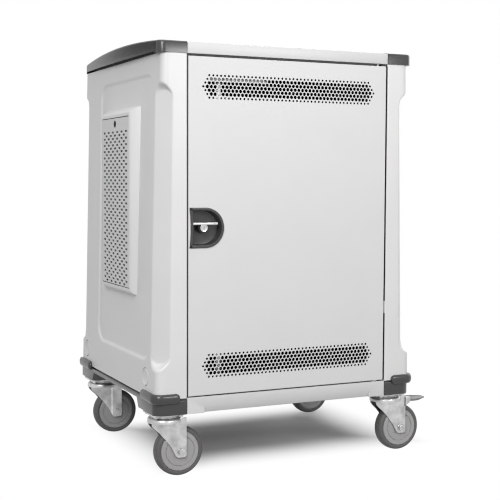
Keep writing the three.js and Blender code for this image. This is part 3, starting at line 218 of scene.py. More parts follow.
fade.inputs["From Max"].default_value = GLOW_FULL
tree.links.new(calc(tree, "MAXIMUM", *beyond), fade.inputs["Value"])
lift = tree.nodes.new("ShaderNodeEmission")
lift.inputs["Color"].default_value = (1, 1, 1, 1)
mix = tree.nodes.new("ShaderNodeMixShader")
out = tree.nodes.new("ShaderNodeOutputMaterial")
tree.links.new(calc(tree, "MULTIPLY", seen, fade.outputs["Result"]), mix.inputs[0])
tree.links.new(chalk.outputs[0], mix.inputs[1])
tree.links.new(lift.outputs[0], mix.inputs[2])
tree.links.new(mix.outputs[0], out.inputs["Surface"])
floor.data.materials.append(paper)
print("floor of", tuple(floor.dimensions)[:2], "m")

# %% [markdown]
# A dark card hangs behind the cart on the left. The camera doesn't see it, but the dark cap on top of
# the cart's side mirrors it at a flat angle. Without it the cap would mirror white and look pale.

# %% Dark card
CARD_PLACE = (-1.45, 2.2, 1.8)
CARD_SIZE = (2.3, 1.4, 1)
CARD_TONE = 0.02
UPRIGHT = (math.pi / 2, 0, 0)

bpy.ops.object.select_all(action="DESELECT")
bpy.ops.mesh.primitive_plane_add(size=1, location=CARD_PLACE, rotation=UPRIGHT, scale=CARD_SIZE)
card = bpy.context.active_object
card.name = "dark_card"
bpy.ops.object.transform_apply(location=True, rotation=True, scale=True)
felt = bpy.data.materials.new("felt")
felt.use_nodes = True
cloth = felt.node_tree.nodes["Principled BSDF"].inputs
cloth["Base Color"].default_value = (CARD_TONE, CARD_TONE, CARD_TONE, 1)
cloth["Roughness"].default_value = 1
card.data.materials.append(felt)
card.visible_camera = False
print("card of", CARD_SIZE[:2], "m")

# %% [markdown]
# ## Finishes
#
# A real surface is never one flat colour. Each finish here drifts between two near tones over a hand's
# width, and has a fine grain that catches the light: the pebbled skin of moulded plastic, the orange
# peel of powder coat, the spangle of zinc. Noise on Object coordinates does both, because the pieces
# keep their place in their mesh, so the grain has a true size in metres.

# %% A finish made of two tones and a grain
RAMP_ENDS = (0.3, 0.7)
SHEEN_RANGE = (0.9, 1.1)


def noise(tree, scale, detail):
    """The output of a noise texture on Object coordinates."""
    place = tree.nodes.new("ShaderNodeTexCoord")
    cloud = tree.nodes.new("ShaderNodeTexNoise")
    cloud.inputs["Scale"].default_value = scale
    cloud.inputs["Detail"].default_value = detail
    tree.links.new(place.outputs["Object"], cloud.inputs["Vector"])
    return cloud.outputs["Fac"]


def finish(name, tone, drift, roughness, grain, relief, metallic=0.0, patches=9):
    """A material whose tone drifts over some patches a metre, with a grain and relief in metres."""
    material = bpy.data.materials.new(name)
    material.use_nodes = True
    tree = material.node_tree
    shader = tree.nodes["Principled BSDF"]
    shader.inputs["Metallic"].default_value = metallic
    tones = tree.nodes.new("ShaderNodeValToRGB")
    for stop, position, factor in zip(tones.color_ramp.elements, RAMP_ENDS, (1 - drift, 1 + drift)):
        stop.position = position
        stop.color = (*[min(channel * factor, 1) for channel in tone], 1)
    tree.links.new(noise(tree, patches, 4), tones.inputs["Fac"])
    tree.links.new(tones.outputs["Color"], shader.inputs["Base Color"])
    speck = noise(tree, 1 / grain, 2)
    sheen = ranged(tree, speck, roughness * SHEEN_RANGE[0], min(roughness * SHEEN_RANGE[1], 1))
    tree.links.new(sheen, shader.inputs["Roughness"])
    bump = tree.nodes.new("ShaderNodeBump")
    bump.inputs["Strength"].default_value = 1
    bump.inputs["Distance"].default_value = relief
    tree.links.new(speck, bump.inputs["Height"])
    tree.links.new(bump.outputs["Normal"], shader.inputs["Normal"])
    return material


def grey(level, warmth=0.0):
    """A near-neutral tone, given as its sRGB grey from 0 to 255 and turned into linear light."""
    linear = ((level / 255 + 0.055) / 1.055) ** 2.4
    return (linear * (1 + warmth), linear, linear * (1 - warmth))


print("white paint reflects", round(grey(226)[0], 2))

# %% The cart's finishes
# tone, drift, roughness, size of the grain, height of the grain; then metallic and patches a metre
FINISHES = {
    "white_moulding": (grey(232, 0.004), 0.012, 0.34, 0.9 * MM, 0.006 * MM),
    "white_paint": (grey(226), 0.01, 0.42, 1.6 * MM, 0.012 * MM),
    "inner_paint": (grey(130), 0.015, 0.45, 1.6 * MM, 0.012 * MM),
    "trim_grey": (grey(62, 0.02), 0.05, 0.23, 0.8 * MM, 0.02 * MM),
    "zinc": (grey(190), 0.24, 0.36, 2.2 * MM, 0.01 * MM, 1.0, 45),
    "chrome": (grey(208), 0.02, 0.12, 3 * MM, 0.001 * MM, 1.0),
    "tyre_grey": (grey(95, 0.02), 0.06, 0.6, 0.7 * MM, 0.03 * MM),
    "hub_grey": (grey(172, 0.01), 0.04, 0.42, 0.9 * MM, 0.015 * MM),
    "pedal_grey": (grey(132, 0.01), 0.05, 0.5, 0.9 * MM, 0.02 * MM),
    "lock_black": (grey(28), 0.05, 0.55, 0.8 * MM, 0.008 * MM),
    "rack_black": (grey(52), 0.06, 0.5, 0.9 * MM, 0.025 * MM),
}
finishes = {name: finish(name, *values) for name, values in FINISHES.items()}
slot_of = {part["node"]: part["material_slot"] for part in frame["record"]["subparts"]}
for node, slot in slot_of.items():
    nodes[node].data.materials.clear()
    nodes[node].data.materials.append(finishes[slot])
print("finishes:", sorted(finishes))

# %% [markdown]
# ## Tools of the lesson
#
# The same few steps come back for every piece: start from a box, pick edges or faces by where they
# lie, round them, and tie the result to the CAD body that it moves with. An operator works on all that
# is selected, so everything is deselected first.

# %% Boxes and selections
HAIR = 0.1 * MM


def activate(piece):
    """Makes one object the only selected one."""
    bpy.ops.object.select_all(action="DESELECT")
    piece.select_set(True)
    bpy.context.view_layer.objects.active = piece


def settle(piece):
    """Moves an object's place, turn and scale into its mesh."""
    activate(piece)
    bpy.ops.object.transform_apply(location=True, rotation=True, scale=True)


def box_between(name, low, high):
    """A cube primitive stretched between two corners."""
    low, high = Vector(low), Vector(high)
    bpy.ops.object.select_all(action="DESELECT")
    bpy.ops.mesh.primitive_cube_add(size=1, location=(low + high) / 2, scale=high - low)
    piece = bpy.context.active_object
    piece.name = name
    settle(piece)
    return piece


def open_mesh(piece, element):
    """Opens a piece in edit mode, to work on its faces, edges or corners."""
    activate(piece)
    bpy.ops.object.mode_set(mode="EDIT")
    bpy.ops.mesh.select_mode(type=element)
    bpy.ops.mesh.select_all(action="DESELECT")
    return bmesh.from_edit_mesh(piece.data)


def close_mesh():
    bpy.ops.object.mode_set(mode="OBJECT")


def pick_faces(piece, test):
    """Opens a piece with the faces selected whose middle and normal pass a test."""
    mesh = open_mesh(piece, "FACE")
    mesh.normal_update()
    for face in mesh.faces:
        face.select_set(test(face.calc_center_median(), face.normal))
    bmesh.update_edit_mesh(piece.data)


def delete_faces(piece, test):
    """Deletes the faces whose middle and normal pass a test."""
    pick_faces(piece, test)
    bpy.ops.mesh.delete(type="FACE")
    close_mesh()


def pick_edges(piece, test):
    """Opens a piece with the edges selected whose two ends pass a test."""
    mesh = open_mesh(piece, "EDGE")
    for edge in mesh.edges:
        edge.select_set(test(edge.verts[0].co, edge.verts[1].co))
    bmesh.update_edit_mesh(piece.data)


print("boxes and selections ready")

# %% Rounding and cutting
DOUBLED = 0.00001


def round_edges(piece, test, radius, steps=3):
    """Rounds the edges whose ends pass a test."""
    pick_edges(piece, test)
    bpy.ops.mesh.bevel(offset=radius, offset_type="OFFSET", segments=steps, profile=0.5, affect="EDGES")
    close_mesh()


def apply_modifier(piece, kind, **settings):
    """Adds a modifier and bakes it into the mesh."""
    activate(piece)
    modifier = piece.modifiers.new(kind.lower(), kind)
    for key, value in settings.items():
        setattr(modifier, key, value)
    bpy.ops.object.modifier_apply(modifier=modifier.name)


def bevel_all(piece, radius, steps=3, angle=30):
    """Rounds every edge that is sharper than an angle."""
    apply_modifier(
        piece, "BEVEL", width=radius, segments=steps, limit_method="ANGLE", angle_limit=math.radians(angle),
    )


def rounded_box(name, low, high, radius, steps=2):
    """A box between two corners with all its edges rounded."""
    piece = box_between(name, low, high)
    bevel_all(piece, radius, steps)
    return piece


def smooth_shade(piece, angle=35):
    activate(piece)
    bpy.ops.object.shade_smooth_by_angle(angle=math.radians(angle))


def subtract(piece, cutter):
    """Cuts one mesh out of another and throws the cutter away."""
    apply_modifier(piece, "BOOLEAN", operation="DIFFERENCE", object=cutter, solver="EXACT")
    bpy.data.objects.remove(cutter)


def merge(pieces, name):
    """Joins several meshes into one object."""
    bpy.ops.object.select_all(action="DESELECT")
    for piece in pieces:
        piece.select_set(True)
    bpy.context.view_layer.objects.active = pieces[0]
    bpy.ops.object.join()
    pieces[0].name = name
    return pieces[0]


def face_out(piece):
    """Merges doubled corners and turns all faces outwards."""
    open_mesh(piece, "VERT")
    bpy.ops.mesh.select_all(action="SELECT")
    bpy.ops.mesh.remove_doubles(threshold=DOUBLED)
    bpy.ops.mesh.normals_make_consistent(inside=False)
    close_mesh()


print("rounding and cutting ready")

# %% Copies and fitting


def fit(piece, body, slot, *replaced):
    """Dresses a finished piece and ties it to the body that it moves with."""
    piece.data.materials.clear()
    piece.data.materials.append(finishes[slot])
    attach(piece, body)
    if replaced:
        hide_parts(*replaced)
    print(piece.name, "rides on", body, "with", len(piece.data.polygons), "faces")


def duplicate(piece):
    """A copy with its own mesh."""
    twin = piece.copy()
    twin.data = piece.data.copy()
    bpy.context.scene.collection.objects.link(twin)
    return twin


def mirror(piece, axis, middle=(0, 0, 0)):
    """Turns a mesh into its mirror image along an axis."""
    flip = Matrix.Translation(middle) @ Matrix.Scale(-1, 4, axis)
    piece.data.transform(flip @ Matrix.Translation(-Vector(middle)))
    piece.data.flip_normals()


def fit_pair(piece, body, slot, *replaced):
    """Fits a piece of the right side, and its mirror image on the left side."""
    twin = duplicate(piece)
    twin.name = piece.name.replace("right_", "left_")
    mirror(twin, (1, 0, 0), (MIDDLE, 0, 0))
    fit(piece, body, slot, *replaced)
    fit(twin, body.replace("right_", "left_"), slot, *[node.replace("right_", "left_") for node in replaced])


print("copies and fitting ready")

# %% [markdown]
# ## Side shells
#
# Each side of the cabinet is one plastic moulding that wraps round to the front and rear posts. Its
# corners are scooped to a flat with arched ends, and a shallow field is pressed into the side. Such
# soft forms are hard to cut with sharp tools. So the shell starts as a fine grid, like a sheet of
# plastic before it is formed: its columns follow the plan of the posts and corners, its rows follow
# the height, and each corner of the grid is then pushed to its place on the mould.

# %% The mould: plan and scoops
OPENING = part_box("right_side_shell")[0].x - MIDDLE
TOP_HALF = 343 * MM
SIDE_LEAN = 18 * MM
HALF_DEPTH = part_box("right_side_shell")[1].y
CORNER = 18 * MM
REAR_CORNER = 6 * MM
POST_ROUND = 3 * MM
POST_RETURN = 30 * MM
SHELL_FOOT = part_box("right_side_shell")[0].z
SHELL_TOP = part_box("right_side_shell")[1].z
SCOOP_FOOT = SHELL_FOOT + 66 * MM
SCOOP_TOP = SHELL_TOP - 68 * MM
SCOOP_RAMP = 20 * MM
SCOOP_SOFTNESS = 0.8 * MM
FRONT_SCOOP = (Vector((TOP_HALF - 28 * MM, -HALF_DEPTH)), Vector((TOP_HALF, -HALF_DEPTH + 45 * MM)))
REAR_SCOOP = (Vector((TOP_HALF, HALF_DEPTH - 26 * MM)), Vector((TOP_HALF - 26 * MM, HALF_DEPTH)))
FIELD_DEPTH = 4 * MM
FIELD_SLOPE = 9 * MM
FIELD_RADIUS = 48 * MM
FIELD_ACROSS = (-254 * MM, 169 * MM)
FIELD_HEIGHT = (285 * MM, 989 * MM)


def ease(low, high, value):
    """Rises smoothly from 0 at low to 1 at high."""
    share = min(max((value - low) / (high - low), 0), 1)
    return share * share * (3 - 2 * share)


def scooped(point, z, scoop):
    """Presses a plan point back to a scoop's flat, less and less towards its arched ends."""
    start, stop = scoop
    along = (stop - start).normalized()
    outward = Vector((along.y, -along.x))
    middle = (start + stop) / 2
    half = (stop - start).length / 2
    reach = min(abs((point - middle).dot(along)), half)
    depth = (point - middle).dot(outward)
    pressed = (depth + math.hypot(depth, 2 * SCOOP_SOFTNESS)) / 2
    arch = half - math.sqrt(half * half - reach * reach)
    weight = ease(0, SCOOP_RAMP, z - SCOOP_FOOT - arch) * ease(0, SCOOP_RAMP, SCOOP_TOP - arch - z)
    return point - outward * pressed * weight


print("scoops from", round(SCOOP_FOOT, 3), "to", round(SCOOP_TOP, 3), "m")

# %% The mould: pressed field and lean


def inside_field(y, z):
    """How far a point of the side lies inside the pressed field's rounded border."""
    across = abs(y - sum(FIELD_ACROSS) / 2) - (FIELD_ACROSS[1] - FIELD_ACROSS[0]) / 2 + FIELD_RADIUS
    height = abs(z - sum(FIELD_HEIGHT) / 2) - (FIELD_HEIGHT[1] - FIELD_HEIGHT[0]) / 2 + FIELD_RADIUS
    corner = math.hypot(max(across, 0), max(height, 0)) + min(max(across, height), 0)
    return FIELD_RADIUS - corner


def moulded(point, z):
    """A plan point of the plain shell, moved to its place on the mould at a height."""
    if point.x > TOP_HALF - FIELD_DEPTH:
        point = point - Vector((FIELD_DEPTH * ease(0, FIELD_SLOPE, inside_field(point.y, z)), 0))
    for scoop in (FRONT_SCOOP, REAR_SCOOP):
        point = scooped(point, z, scoop)
    spread = SIDE_LEAN * (SHELL_TOP - z) / (SHELL_TOP - SHELL_FOOT)
    x = point.x + spread * (point.x - OPENING) / (TOP_HALF - OPENING)
    return Vector((x + MIDDLE, point.y, z))


print("the field is pressed in by", round(FIELD_DEPTH / MM, 1), "mm")

# %% [markdown]
# The grid's columns stand close together round the corners and wide apart on the flats, and its rows
# crowd at the scoops' ends. The hatch for the vent cover needs rows and columns right at its edges, so
# that its faces can be deleted cleanly.

# %% Columns and rows of the grid
HATCH_ACROSS = (-140 * MM, 100 * MM)
HATCH_HEIGHT = (443 * MM, 903 * MM)
FINE_STEP = 2.2 * MM
WIDE_STEP = 8 * MM
RETURN_STEP = 9 * MM
FINE_ROW = 2.6 * MM
WIDE_ROW = 9 * MM
SHORT_RUN = 60 * MM
LONG_RUN = 95 * MM


def steps(start, stop, step):
    """Even steps from start to just before stop."""
    count = max(1, round(abs(stop - start) / step))
    return [start + (stop - start) * i / count for i in range(count)]


def arc(centre, radius, start, stop, count):
    """Points on an arc from one angle in degrees to just before another."""
    angles = [math.radians(angle) for angle in steps(start, stop, abs(stop - start) / count)]
    return [Vector((centre[0] + radius * math.cos(a), centre[1] + radius * math.sin(a))) for a in angles]


def post(corner):
    """Half of the plan: a post's return, its face, and a corner of a given radius."""
    front = -HALF_DEPTH
    points = [Vector((OPENING, y)) for y in steps(front + POST_RETURN, front + POST_ROUND, RETURN_STEP)]
    points += arc((OPENING + POST_ROUND, front + POST_ROUND), POST_ROUND, 180, 270, 4)
    points += [Vector((x, front)) for x in steps(OPENING + POST_ROUND, TOP_HALF - corner, FINE_STEP)]
    points += arc((TOP_HALF - corner, front + corner), corner, 270, 360, 14)
    return points


side_stops = [-HALF_DEPTH + CORNER, -240 * MM, *HATCH_ACROSS, 150 * MM, 185 * MM, 250 * MM]
side = []
for low, high in zip(side_stops, side_stops[1:] + [HALF_DEPTH - REAR_CORNER]):
    side += steps(low, high, FINE_STEP if high - low < SHORT_RUN else WIDE_STEP)
side.append(HALF_DEPTH - REAR_CORNER)
plan = post(CORNER) + [Vector((TOP_HALF, y)) for y in side]
plan += [Vector((point.x, -point.y)) for point in reversed(post(REAR_CORNER))]
row_stops = [SHELL_FOOT, SCOOP_FOOT - 4 * MM, 330 * MM, *HATCH_HEIGHT]
row_stops += [SCOOP_TOP - 56 * MM, SCOOP_TOP + 30 * MM]
rows = []
for low, high in zip(row_stops, row_stops[1:] + [SHELL_TOP]):
    rows += steps(low, high, FINE_ROW if SHORT_RUN < high - low < LONG_RUN else WIDE_ROW)
rows.append(SHELL_TOP)
print(len(plan), "columns and", len(rows), "rows")

# %% [markdown]
# A mould could also be sculpted by hand, but the moved grid keeps the shell exactly on the CAD model's
# plan. Only its outer skin is formed. The hatch is opened by deleting faces, and Solidify then gives the
# skin the thickness of a real moulding.

# %% Form the right shell
SHELL_SHEET = 3.5 * MM


def grid(name, columns, rows):
    """A flat grid from -1 to 1 both ways, with so many faces along X and Y."""
    bpy.ops.object.select_all(action="DESELECT")
    bpy.ops.mesh.primitive_grid_add(x_subdivisions=columns, y_subdivisions=rows, size=2)
    bpy.context.active_object.name = name
    return bpy.context.active_object


right_shell = grid("right_moulded_shell", len(plan) - 1, len(rows) - 1)
for corner in right_shell.data.vertices:
    column = round((corner.co.x + 1) / 2 * (len(plan) - 1))
    row = round((corner.co.y + 1) / 2 * (len(rows) - 1))
    corner.co = moulded(plan[column], rows[row])
delete_faces(right_shell, lambda middle, normal: (
    HATCH_ACROSS[0] < middle.y < HATCH_ACROSS[1]
    and HATCH_HEIGHT[0] < middle.z < HATCH_HEIGHT[1]
    and middle.x > TOP_HALF + MIDDLE - 10 * MM
))
apply_modifier(right_shell, "SOLIDIFY", thickness=SHELL_SHEET, offset=-1)
print("shell of", len(right_shell.data.polygons), "faces")

# %% [markdown]
# Two round plugs close the fixing holes low on each side. Each hole is cut right through with a
# cylinder. Its plug follows further on. The left shell is a mirrored copy of the right one.

# %% Plug holes
PLUG_RADIUS = 23 * MM
PLUG_DRILL = 40 * MM
PLUG_PLACES = ((-230 * MM, 247 * MM), (264 * MM, 247 * MM))


def side_point(y, z):
    """The point of the plain side at a place."""
    return moulded(Vector((TOP_HALF, y)), z)


def cylinder(centre, turn, radius, depth, sides):
    """A cylinder round a point. Its axis is Z before the turn."""
    bpy.ops.object.select_all(action="DESELECT")
    bpy.ops.mesh.primitive_cylinder_add(
        vertices=sides, radius=radius, depth=depth, location=centre, rotation=turn,
    )
    piece = bpy.context.active_object
    settle(piece)
    return piece


def drill(piece, centre, axis, radius, depth):
    """Cuts a round hole along an axis."""
    turn = Vector(axis).to_track_quat("Z", "Y").to_euler()
    subtract(piece, cylinder(centre, turn, radius, depth, 48))


for y, z in PLUG_PLACES:
    drill(right_shell, side_point(y, z), (1, 0, 0), PLUG_RADIUS, PLUG_DRILL)
smooth_shade(right_shell, 50)
fit_pair(right_shell, "cabinet", "white_moulding", "right_side_shell")

# %% [markdown]
# ## Vent boss and cover
#
# A raised boss on each side carries a sheet metal cover with rows of fine slots. The boss is a box
# whose outer face is drawn in to give sloping flanks, then inset and pushed back to make the pocket
# that the cover drops into.

# %% The boss round the cover
cover_low, cover_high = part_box("right_vent_cover")
BOSS_SLOPE = 15 * MM
BOSS_BORDER = Vector((0, 5 * MM, 11 * MM))
BOSS_SUNK = 26 * MM
POCKET_GAP = 2 * MM
POCKET_DEPTH = 5.4 * MM
LEDGE = 4 * MM
LEDGE_LIP = 3 * MM
FLANK_ROUND = 5 * MM

base = BOSS_BORDER + Vector((0, BOSS_SLOPE, BOSS_SLOPE))
boss_low = cover_low - base - Vector((BOSS_SUNK - (cover_high.x - cover_low.x), 0, 0))
boss = box_between("right_vent_boss", boss_low, cover_high + base)
boss_middle = (cover_low + cover_high) / 2
size = cover_high - cover_low
drawn_in = [(size[i] + 2 * BOSS_BORDER[i]) / (size[i] + 2 * base[i]) for i in (1, 2)]
pick_faces(boss, lambda middle, normal: normal.x > 0.9)
bpy.ops.transform.resize(value=(1, *drawn_in), center_override=boss_middle)
bpy.ops.mesh.inset(thickness=BOSS_BORDER.y - POCKET_GAP, use_even_offset=True)
close_mesh()
pick_faces(boss, lambda middle, normal: normal.x > 0.9 and (middle - boss_middle).yz.length < 5 * MM)
inset_height = size.z + 2 * (BOSS_BORDER.z - BOSS_BORDER.y + POCKET_GAP)
pocket_height = size.z + 2 * POCKET_GAP
bpy.ops.transform.resize(value=(1, 1, pocket_height / inset_height), center_override=boss_middle)
bpy.ops.mesh.extrude_region_move(TRANSFORM_OT_translate={"value": (-POCKET_DEPTH, 0, 0)})
bpy.ops.mesh.inset(thickness=LEDGE + POCKET_GAP)
bpy.ops.mesh.extrude_region_move(TRANSFORM_OT_translate={"value": (-LEDGE_LIP, 0, 0)})
bpy.ops.mesh.delete(type="FACE")
close_mesh()
delete_faces(boss, lambda middle, normal: normal.x < -0.9 and middle.x < boss_low.x + MM)


def on_flank(a, b):
    """True for the edges between the boss's sloping flanks and round its face."""
    outer = max(abs(a.y - boss_middle.y) - size.y / 2, abs(b.y - boss_middle.y) - size.y / 2)
    return outer > BOSS_BORDER.y - 0.5 * MM and max(a.x, b.x) > boss_low.x + 20 * MM


round_edges(boss, on_flank, FLANK_ROUND, 4)
smooth_shade(boss, 40)
fit_pair(boss, "cabinet", "white_moulding", "right_side_shell")

# %% [markdown]
# The cover is a shallow tray of sheet metal: a box without its rear face, made solid with Solidify. Its
# slots are cut all at once. One slot is a thin box with rounded ends; copies of it in staggered rows are
# joined into one cutter, and a single boolean takes them out of the sheet.

# %% The slotted cover
COVER_SHEET = 1.3 * MM
SLOT_LENGTH = 18.4 * MM
SLOT_HEIGHT = 5.3 * MM
SLOT_PITCH = 35.4 * MM
SLOT_ROW = 8.3 * MM
SLOT_ROWS = 48
SLOT_MOST = 6
SLOT_CUT = 10 * MM
FIRST_ROW = 36 * MM
COVER_ROUND = 1 * MM
LOCK_BELOW_TOP = 9 * MM
LOCK_HOLE = 9.6 * MM
LOCK_DRILL = 30 * MM


def slot_cutter(name, place, across):
    """A short bar with rounded ends, lying along Y."""
    half = Vector((across, SLOT_LENGTH / 2, SLOT_HEIGHT / 2))
    bar = box_between(name, place - half, place + half)
    ends = SLOT_LENGTH / 2 - HAIR
    round_edges(bar, lambda a, b: abs(a.y - place.y) > ends and abs(b.y - place.y) > ends
                and abs(a.x - b.x) > across, SLOT_HEIGHT * 0.49, 3)
    return bar


def copy_at(piece, offset):
    """A copy moved by an offset."""
    twin = duplicate(piece)
    twin.data.transform(Matrix.Translation(offset))
    return twin


cover = box_between("right_slotted_cover", cover_low, cover_high)
delete_faces(cover, lambda middle, normal: normal.x < -0.9)
first = slot_cutter("slot", Vector((*boss_middle.xy, cover_high.z - FIRST_ROW)), SLOT_CUT)
cutters = []
for row in range(SLOT_ROWS):
    count = SLOT_MOST - row % 2
    for i in range(count):
        offset = Vector((0, (i - (count - 1) / 2) * SLOT_PITCH, -row * SLOT_ROW))
        cutters.append(copy_at(first, offset))
bpy.data.objects.remove(first)
round_edges(cover, lambda a, b: min(a.x, b.x) > cover_high.x - HAIR, COVER_ROUND, 2)
apply_modifier(cover, "SOLIDIFY", thickness=COVER_SHEET, offset=-1)
subtract(cover, merge(cutters, "slots"))
lock_low, lock_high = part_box("right_cover_lock")
lock_centre = Vector((cover_high.x, boss_middle.y, lock_high.z - LOCK_BELOW_TOP))
drill(cover, lock_centre, (1, 0, 0), LOCK_HOLE, LOCK_DRILL)
fit_pair(cover, "right_vent_cover", "white_paint", "right_vent_cover")

# %% [markdown]
# A black dust filter lies behind the slots, and a black gasket in the joint over the cover and another under
# its lower edge. Their black is painted shade: it stands in for the shade inside the slots and the joint, so
# that these read as dark lines.

# %% Dust filter and gasket strips, painted shade in the slots and the joint
FILTER_MARGIN = Vector((0, 8 * MM, 8 * MM))
FILTER_OVER_SLOTS = 6 * MM
FILTER_SHEET = 1.5 * MM
FILTER_GAP = 0.2 * MM
FILTER_EDGE = 0.5 * MM
GASKET_SHEET = 0.4 * MM

filter_face = cover_high.x - COVER_SHEET - FILTER_GAP
filter_low = Vector((filter_face - FILTER_SHEET, *(cover_low + FILTER_MARGIN).yz))
filter_top = cover_high.z - FIRST_ROW + FILTER_OVER_SLOTS
filter_high = Vector((filter_face, cover_high.y - FILTER_MARGIN.y, filter_top))
# painted shade: the filter's black stands in for the shade behind the slots
dust_and_shade_filter = rounded_box("right_dust_filter", filter_low, filter_high, FILTER_EDGE)
fit_pair(dust_and_shade_filter, "right_vent_cover", "lock_black")
pocket_floor = cover_high.x - POCKET_DEPTH
# painted shade: black gasket strips stand in for the shade in the joint over and under the cover
shade_gaskets = [
    rounded_box(
        "gasket", (pocket_floor, cover_low.y, foot), (pocket_floor + depth, cover_high.y, top), HAIR, 1,
    )
    for depth, foot, top in (
        (POCKET_DEPTH - MM, cover_high.z + 5 * HAIR, cover_high.z + POCKET_GAP - HAIR),
        (GASKET_SHEET, cover_low.z - POCKET_GAP + HAIR, cover_low.z + POCKET_GAP),
    )
]
fit_pair(merge(shade_gaskets, "right_cover_gasket"), "cabinet", "lock_black")
print("cover sheet of", round((cover_high.x - cover_low.x) / MM, 2), "mm")

# %% [markdown]
# The plugs and the cover's key lock are turned parts. A turned part is drawn as half of its outline and
# spun round its axis. A plug is a disc, a little sunk, with a raised ring. The lock is a rim, a sunk face
# and a barrel with a tongue. Its keyway is a thin box, cut out after that.

# %% Turned outlines, and the plugs


def spun(name, outline, axis, centre, count=48):
    """Spins an outline of (radius, along) pairs round an axis through a centre."""
    axis, centre = Vector(axis), Vector(centre)
    aside = Vector((0, 0, 1)) if abs(axis.z) < 0.5 else Vector((1, 0, 0))
    points = [centre + aside * radius + axis * along for radius, along in outline]
    mesh = bpy.data.meshes.new(name)
    mesh.from_pydata(points, [(i, i + 1) for i in range(len(points) - 1)], [])
    piece = bpy.data.objects.new(name, mesh)
    bpy.context.scene.collection.objects.link(piece)
    open_mesh(piece, "VERT")
    bpy.ops.mesh.select_all(action="SELECT")
    bpy.ops.mesh.spin(steps=count, angle=math.tau, center=centre, axis=axis)
    close_mesh()
    face_out(piece)
    smooth_shade(piece)
    return piece


def in_mm(*pairs):
    """An outline whose numbers are millimetres."""
    return [(radius * MM, along * MM) for radius, along in pairs]


PLUG_OUTLINE = in_mm(
    (0, -1), (16.6, -1), (17.8, -0.6), (19, 0.4), (20.2, 0.4), (21, -0.4), (21, -8), (0, -8),
)
plugs = [spun("plug", PLUG_OUTLINE, (1, 0, 0), side_point(y, z), 56) for y, z in PLUG_PLACES]
fit_pair(merge(plugs, "right_side_plugs"), "cabinet", "white_moulding", "right_side_shell")

# %% Cover locks
LOCK_FACE = in_mm(
    (0, -3), (6.2, -3), (6.5, -3.6), (7, -3.6), (7.2, -1), (8.2, 0), (9.2, -0.6), (9.2, -8), (0, -8),
)
TONGUE_HALF = 5 * MM
TONGUE_SHEET = 3 * MM
SMALL_EDGE = 0.8 * MM
COVER_KEYWAY = Vector((4 * MM, 0.8 * MM, 3.4 * MM))


def cut_slit(piece, centre, half):
    """Cuts a thin box out of a lock's face, for the key."""
    subtract(piece, box_between("slit", centre - half, centre + half))


key_lock = spun("right_key_lock", LOCK_FACE, (1, 0, 0), lock_centre)
cut_slit(key_lock, lock_centre, COVER_KEYWAY)
tongue = rounded_box(
    "tongue", (lock_low.x, boss_middle.y, lock_centre.z - TONGUE_HALF),
    (lock_low.x + TONGUE_SHEET, lock_high.y, lock_centre.z + TONGUE_HALF), SMALL_EDGE,
)
barrel = spun("barrel", in_mm((0, -12.6), (7, -12.6), (7, -7), (0, -7)), (1, 0, 0), lock_centre, 32)
key_lock = merge([key_lock, tongue, barrel], "right_key_lock")
fit_pair(key_lock, "right_cover_lock", "lock_black", "right_cover_lock")

# %% [markdown]
# ## Top caps
#
# A dark moulded cap closes the top of each side. Its upper edge is arched from front to rear, and its
# flank bulges. A box is cut into slices along its length, the slices are moved along two gentle
# curves, and then the long edges are rounded. A groove under its outer edge leaves a dark line above
# the shell.

# %% Caps
CAP_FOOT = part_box("right_top_cap")[0].z
CAP_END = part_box("right_top_cap")[1].y
CAP_HEIGHTS = (28 * MM, 41 * MM, 26 * MM)
CAP_OVERHANGS = (10 * MM, 12 * MM, 2 * MM)
CAP_REAR_CORNER = 9 * MM
CAP_GROOVE = Vector((11 * MM, 28 * MM, 4.4 * MM))
CAP_SLICES = 32
CAP_EDGE = 6 * MM


def along_cap(y, front, middle, rear):
    """A parabola through a front, a middle and a rear value along the cap's length."""
    share = y / CAP_END
    return middle + (rear - front) / 2 * share + ((rear + front) / 2 - middle) * share * share


cap = box_between(
    "right_cap_moulding", (OPENING + MIDDLE, -CAP_END, CAP_FOOT),
    (TOP_HALF + MIDDLE, CAP_END, CAP_FOOT + CAP_HEIGHTS[0]),
)
pick_edges(cap, lambda a, b: abs(a.y - b.y) > CAP_END)
bpy.ops.mesh.subdivide(number_cuts=CAP_SLICES - 1)
close_mesh()
for corner in cap.data.vertices:
    if corner.co.x > TOP_HALF + MIDDLE - MM:
        corner.co.x += along_cap(corner.co.y, *CAP_OVERHANGS)
    if corner.co.z > CAP_FOOT + MM:
        corner.co.z = CAP_FOOT + along_cap(corner.co.y, *CAP_HEIGHTS)
outer = TOP_HALF + MIDDLE + MM
for toward, radius in ((-1, CORNER), (1, CAP_REAR_CORNER)):
    round_edges(cap, lambda a, b: a.x > outer and b.x > outer and abs(a.z - b.z) > 9 * MM
                and min(a.y * toward, b.y * toward) > CAP_END - MM, radius, 8)
print("cap from", round(CAP_FOOT, 3), "to", round(CAP_FOOT + CAP_HEIGHTS[1], 3), "m")

# %% The cap's upper rim and its groove
top_line = CAP_FOOT + 15 * MM


def on_cap_top(a, b):
    """True for the rim of the cap's upper face, apart from the side that meets the top panel."""
    if min(a.z, b.z) < top_line or max(a.x, b.x) < OPENING + MIDDLE + MM:
        return False
    return min(a.x, b.x) > outer - CORNER or (abs(a.y) > CAP_END - MM and abs(b.y) > CAP_END - MM)


